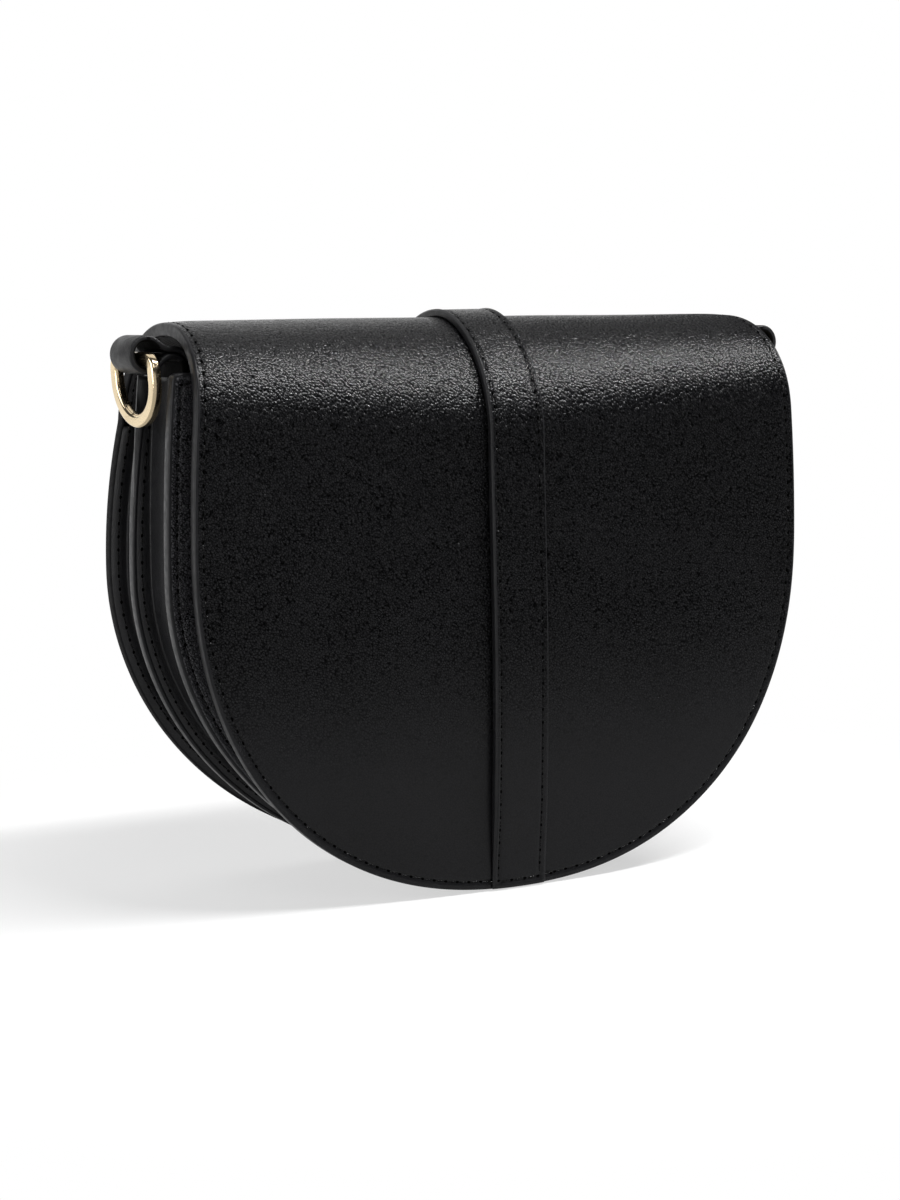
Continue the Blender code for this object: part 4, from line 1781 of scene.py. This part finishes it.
@dataclass
class RingAndTab(SubAssembly):
    """A cast ring and the folded leather tab that holds it."""

    side: int
    body: Body
    tab_width: float = 0.0145
    tab_leather: float = 0.0018
    tab_centre_y: float = -0.0020
    layer_gap: float = 0.0003
    bore: float = 0.0039
    loop_x: float = 0.1074
    loop_z: float = 0.1648
    loop_end: float = math.radians(142)
    bar_x: float = 0.1085
    bar_z: float = 0.1635
    ring_twist: float = math.radians(7.5)
    ring_lean: float = math.radians(4.0)
    tab_twist: float = math.radians(4.0)
    meet_front: float = 0.1008
    meet_back: float = 0.1044
    tail_top: float = 0.1662
    tail_bend: float = 0.0030
    tail_end: float = 0.1391
    tail_x: float = 0.0956
    ring_inner: float = 0.0190
    ring_face: float = 0.0040
    ring_thickness: float = 0.0030
    ring_corner: float = 0.0032
    ring_drop: float = 0.0200

    @property
    def word(self) -> str:
        """The side as a word."""
        return "left" if self.side < 0 else "right"

    def build(self) -> None:
        """Builds and dresses the ring and the tab."""
        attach(dress(self.ring(), Slot.GOLD, "d_ring_" + self.word), self.body.value)
        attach(dress(self.tab(), Slot.LEATHER, "tab_" + self.word), Body.BAG.value)

    def ring(self) -> Object:
        """Builds the ring.

        Returns:
            The ring.
        """
        half, corner = (self.ring_inner + self.ring_face) / 2, self.ring_corner
        points = arc((half - corner, -corner), corner, 0, RIGHT_ANGLE, 8)
        points += arc((corner - half, -corner), corner, RIGHT_ANGLE, math.pi, 8)
        points += arc((0, half - (self.ring_drop - self.ring_face / 2)), half, math.pi, TURN, 40)
        path = resampled(np.array(points), 0.0009)
        inwards = left_normals(path)
        columns = []
        for across, thick in round_section(self.ring_face, self.ring_thickness, 0.0010, 5):
            columns.append(np.insert(path + inwards * across, 0, thick, axis=1))
        return swept("ring_" + self.word, self.hung(np.stack(columns, axis=1)), True, self.shop.gold)

    def hung(self, rows: Array) -> Array:
        """Hangs the ring in its tab: leaning in towards the bag, its front leg turned in.

        Args:
            rows: points (x, y, z) round the middle of the bar, for the +X side.

        Returns:
            The points in place.
        """
        lean, twist = self.ring_lean, self.ring_twist
        x = rows[..., 0] * math.cos(lean) + rows[..., 2] * math.sin(lean)
        z = rows[..., 2] * math.cos(lean) - rows[..., 0] * math.sin(lean)
        out = x * math.cos(twist) + rows[..., 1] * math.sin(twist)
        back = rows[..., 1] * math.cos(twist) - x * math.sin(twist)
        return np.stack([self.side * (self.bar_x + out), self.tab_centre_y + back, self.bar_z + z], axis=-1)

    def path(self, meet: float) -> Array:
        """The middle line (x, z) of the tab on +X.

        Args:
            meet: where the two layers come together behind the loop.

        Returns:
            Points from the lower inner end, round the bar and back inside.
        """
        layer = self.tab_leather + self.layer_gap
        lower = self.tail_top - layer
        bend = (self.tail_x + self.tail_bend, lower - self.tail_bend)
        loop = (self.loop_x, self.loop_z)
        points = [(self.tail_x, self.tail_end)]
        points += arc(bend, self.tail_bend, math.pi, RIGHT_ANGLE, 10) + [(meet, lower)]
        points += arc(loop, self.bore + self.tab_leather / 2, -self.loop_end, self.loop_end, 40)
        points += [(meet, self.tail_top)] + arc(bend, self.tail_bend + layer, RIGHT_ANGLE, math.pi, 10)
        points.append((self.tail_x - layer, self.tail_end))
        path = np.array(points)
        path = read(path, np.linspace(0, run(path)[-1], 150))
        for _ in range(4):
            path[1:-1] = (path[:-2] + 2 * path[1:-1] + path[2:]) / 4
        return path

    def tab(self) -> Object:
        """Builds the tab, with a darker matte copy of its leather in the fold and on the lower tail: the
        flesh side in the fold, and painted shade on both.

        Returns:
            The tab.
        """
        columns = []
        for along, thick in round_section(self.tab_width, self.tab_leather, 0.0006):
            share = along / self.tab_width + 0.5
            path = self.path(self.meet_front + (self.meet_back - self.meet_front) * share)
            at = path + left_normals(path, False) * thick
            turn = np.clip((at[:, 0] - self.meet_front) / (self.loop_x - self.meet_front), 0, 1)
            angle = self.tab_twist * ease(turn)
            x = at[:, 0] + along * np.sin(angle)
            y = self.tab_centre_y + along * np.cos(angle)
            columns.append(np.stack([self.side * x, y, at[:, 1]], axis=1))
        tab = swept("tab_leather_" + self.word, np.stack(columns, axis=1), False, self.shop.smooth)
        tab.data.materials.append(self.shop.flesh_and_painted_shade)
        # Faces inside the loop, the flesh side, and faces of the lower tail get the darker copy, as painted
        # shade.
        for polygon in tab.data.polygons:
            centre = polygon.center
            inwards = Vector((self.side * self.loop_x, centre.y, self.loop_z)) - centre
            looped = inwards.length < self.bore + self.tab_leather / 2 and inwards.dot(polygon.normal) > 0
            if looped or centre.z < self.tail_top - 0.0035 and abs(centre.x) < self.meet_front:
                polygon.material_index = 1
        return tab


@dataclass
class MagneticSnap(SubAssembly):
    """The hidden closure: a stud under the flap and its socket on the front panel."""

    height: float = 0.052
    steps: int = 64
    sharp: float = math.radians(32)
    socket: Sequence[Point] = (
        (0, -0.0235), (0.0038, -0.0235), (0.0042, -0.0239), (0.0042, -0.0255), (0.0046, -0.0258),
        (0.0062, -0.0258), (0.0064, -0.0254), (0.0068, -0.0254), (0.0070, -0.0258), (0.0079, -0.0258),
        (0.0085, -0.0252), (0.0085, -0.0219), (0, -0.0219),
    )
    stud: Sequence[Point] = (
        (0, -0.0287), (0.0075, -0.0287), (0.0075, -0.0267), (0.0070, -0.0262), (0.0030, -0.0262),
        (0.0026, -0.0258), (0.0026, -0.0245), (0.0022, -0.0242), (0, -0.0242),
    )

    def turned(self, name: str, profile: Sequence[Point]) -> Object:
        """A piece turned about an axis along Y.

        Args:
            name: its name.
            profile: points (radius, y) from the axis and back to it.

        Returns:
            The piece.
        """
        vertices, faces, rings = [], [], []
        for radius, y in profile:
            around = self.steps if radius else 1
            first = len(vertices)
            rings.append([first + index % around for index in range(self.steps)])
            for index in range(around):
                angle = TURN * index / self.steps
                vertices.append((radius * math.cos(angle), y, self.height + radius * math.sin(angle)))
        for above, below in zip(rings, rings[1:]):
            for index in range(self.steps):
                after = (index + 1) % self.steps
                corners = [above[index], above[after], below[after], below[index]]
                faces.append(list(dict.fromkeys(corners)))
        obj = mesh_object(name, np.array(vertices), faces, (self.shop.snap,))
        obj.data.set_sharp_from_angle(angle=self.sharp)
        return obj

    def build(self) -> None:
        """Builds and dresses the stud and the socket."""
        for name, profile, body in (("socket", self.socket, Body.BAG), ("stud", self.stud, Body.FLAP)):
            piece = self.turned("magnet_" + name, profile)
            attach(dress(piece, Slot.SNAP, "snap_" + name), body.value)


# Studio


@dataclass
class Studio:
    """The floor, the lights and the camera."""

    focal_pixels: float = 2344.0
    frame_pixels: float = 1200.0
    sensor: float = 36.0
    yaw: float = math.radians(27.48)
    pitch: float = math.radians(7.04)
    roll: float = math.radians(0.68)
    aside: float = 0.00470
    above: float = 0.00228
    distance: float = 0.7394
    aim_height: float = 0.088
    lit_height: float = 0.12

    def camera(self) -> None:
        """Sets the camera at the photograph's angle."""
        yaw, pitch, roll = self.yaw, self.pitch, self.roll
        right = Vector((math.cos(yaw), -math.sin(yaw), 0))
        ahead = Vector((math.sin(yaw) * math.cos(pitch), math.cos(yaw) * math.cos(pitch), -math.sin(pitch)))
        up = right.cross(ahead)
        aim = Vector((0, 0, self.aim_height))
        place = aim - right * self.aside - up * self.above - ahead * self.distance
        turned_right = right * math.cos(roll) - up * math.sin(roll)
        turned_up = right * math.sin(roll) + up * math.cos(roll)
        data = bpy.data.cameras.new("camera")
        data.sensor_width = self.sensor
        data.lens = self.focal_pixels * self.sensor / self.frame_pixels
        data.clip_start = 0.01
        camera = linked("camera", data)
        turn = Matrix((turned_right, turned_up, -ahead)).transposed()
        camera.matrix_world = Matrix.Translation(place) @ turn.to_4x4()
        bpy.context.scene.camera = camera

    def lamp(
        self, name: str, place: Sequence[float], size: Point, power: float, along: Sequence[float]
    ) -> None:
        """Adds a soft rectangular lamp that faces the bag.

        Args:
            name: its name.
            place: its centre.
            size: its width and height.
            power: in watts.
            along: which way its width runs.
        """
        data = bpy.data.lights.new(name, "AREA")
        data.shape = "RECTANGLE"
        data.size, data.size_y = size
        data.energy = power
        away = (Vector(place) - Vector((0, 0, self.lit_height))).normalized()
        across = Vector(along)
        across = (across - away * across.dot(away)).normalized()
        turn = Matrix((across, away.cross(across), away)).transposed()
        linked(name, data).matrix_world = Matrix.Translation(place) @ turn.to_4x4()

    def lights(self) -> None:
        """Adds the lamps and the dim room."""
        self.lamp("top_strip", (0.42, -0.42, 0.92), (0.9, 0.04), 16.2, (1, 0.15, 0))
        self.lamp("ceiling", (0.0, 0.30, 0.9), (1.2, 0.7), 2.2, (1, 0, 0))
        self.lamp("left_softbox", (-1.0, -0.12, 0.35), (0.8, 0.8), 5.5, (0, 1, 0))
        self.lamp("front_fill", (-0.2, -1.3, 0.9), (0.8, 0.6), 2.4, (1, 0, 0))
        world = bpy.data.worlds.new("room")
        bpy.context.scene.world = world
        world.use_nodes = True
        graph = NodeGraph(world.node_tree)
        camera = graph.node("ShaderNodeLightPath").outputs["Is Camera Ray"]
        seen = graph.mix_colour(camera, (0.05, 0.05, 0.052, 1), (1, 1, 1, 1))
        graph.feed(world.node_tree.nodes["Background"], {"Color": seen})

    @staticmethod
    def paper(name: str, corners: list[tuple], mottle: float, glow_of: Callable) -> None:
        """Makes a sheet of pale paper, which glows where the camera and glossy surfaces see it.

        Args:
            name: the piece's name.
            corners: of the sheet.
            mottle: scale of its mottle.
            glow_of: adds nodes for how much of it glows to the camera, and how strongly.
        """
        mesh = bpy.data.meshes.new(name)
        mesh.from_pydata(corners, [], [(0, 1, 2, 3)])
        material = bpy.data.materials.new(name + "_paper")
        material.use_nodes = True
        graph = NodeGraph(material.node_tree)
        shader, output = (material.node_tree.nodes[kind] for kind in ("Principled BSDF", "Material Output"))
        where = graph.node("ShaderNodeTexCoord").outputs["Object"]
        tone = graph.mix_colour(graph.noise(where, mottle), (0.86, 0.86, 0.86, 1), (0.88, 0.88, 0.88, 1))
        graph.feed(shader, {"Base Color": tone, "Roughness": 0.9})
        rays = graph.node("ShaderNodeLightPath").outputs
        seen, strength = glow_of(graph, where, rays["Is Camera Ray"])
        glow = graph.out("ShaderNodeEmission", {"Color": (1, 1, 1, 1), "Strength": strength})
        share = graph.math("MAXIMUM", seen, rays["Is Glossy Ray"])
        mixed = graph.out("ShaderNodeMixShader", {0: share, 1: shader.outputs[0], 2: glow})
        graph.feed(output, {"Surface": mixed})
        mesh.materials.append(material)
        linked(name, mesh)

    @staticmethod
    def floor_glow(graph: NodeGraph, where: Socket, camera: Socket) -> tuple[Socket, Socket]:
        """Lets the floor keep the bag's shadow near it and glow fully far off and behind.

        Args:
            graph: the paper's tree.
            where: its Object coordinates.
            camera: whether the camera sees it.

        Returns:
            How much of it glows to the camera, and how strongly.
        """
        away = graph.node("ShaderNodeVectorMath", {0: where}, operation="LENGTH").outputs["Value"]
        seen = graph.times(camera, graph.remap(away, 0.11, 0.28, 0.6, 1.0))
        level = graph.math("MAXIMUM", graph.remap(graph.axis(where, 1), 0.0, 0.35), 0.48)
        return seen, graph.math("MAXIMUM", camera, level)

    @staticmethod
    def backdrop_glow(graph: NodeGraph, where: Socket, camera: Socket) -> tuple[Socket, float]:
        """Lets the backdrop glow fully."""
        return camera, 1.0

    def build(self) -> None:
        """Sets the whole studio."""
        bpy.context.scene.view_settings.view_transform = "Standard"
        self.camera()
        self.lights()
        reach = 6.0
        corners = [(-reach, -reach, 0), (reach, -reach, 0), (reach, reach, 0), (-reach, reach, 0)]
        self.paper("floor", corners, 18.0, self.floor_glow)
        half, top, y = 0.9, 1.1, 1.3
        corners = [(-half, y, 0), (half, y, 0), (half, y, top), (-half, y, top)]
        self.paper("backdrop", corners, 12.0, self.backdrop_glow)


def main() -> None:
    """Builds the bag and the studio in order."""
    logging.basicConfig(level=logging.INFO, format="%(message)s")
    shop = Workshop()
    machine = SewingMachine(StitchTree().build(shop.thread, shop.hole))
    body = HalfMoon(widest=0.0990, power=1.99, half=0.1068, base=0.0029)
    flap = HalfMoon(widest=0.1065, power=2.23, half=0.103, base=0.0005)
    outer = OuterLeather(shop, machine, flap, body, RolledSurface())
    strap = CentreStrap(shop, machine, outer)
    compartments = Compartments(shop, machine, body)
    left = RingAndTab(shop, machine, -1, Body.LEFT_RING)
    right = RingAndTab(shop, machine, 1, Body.RIGHT_RING)
    for assembly in (outer, strap, compartments, left, right, MagneticSnap(shop, machine)):
        assembly.build()
    Studio().build()


if __name__ == "__main__":
    main()
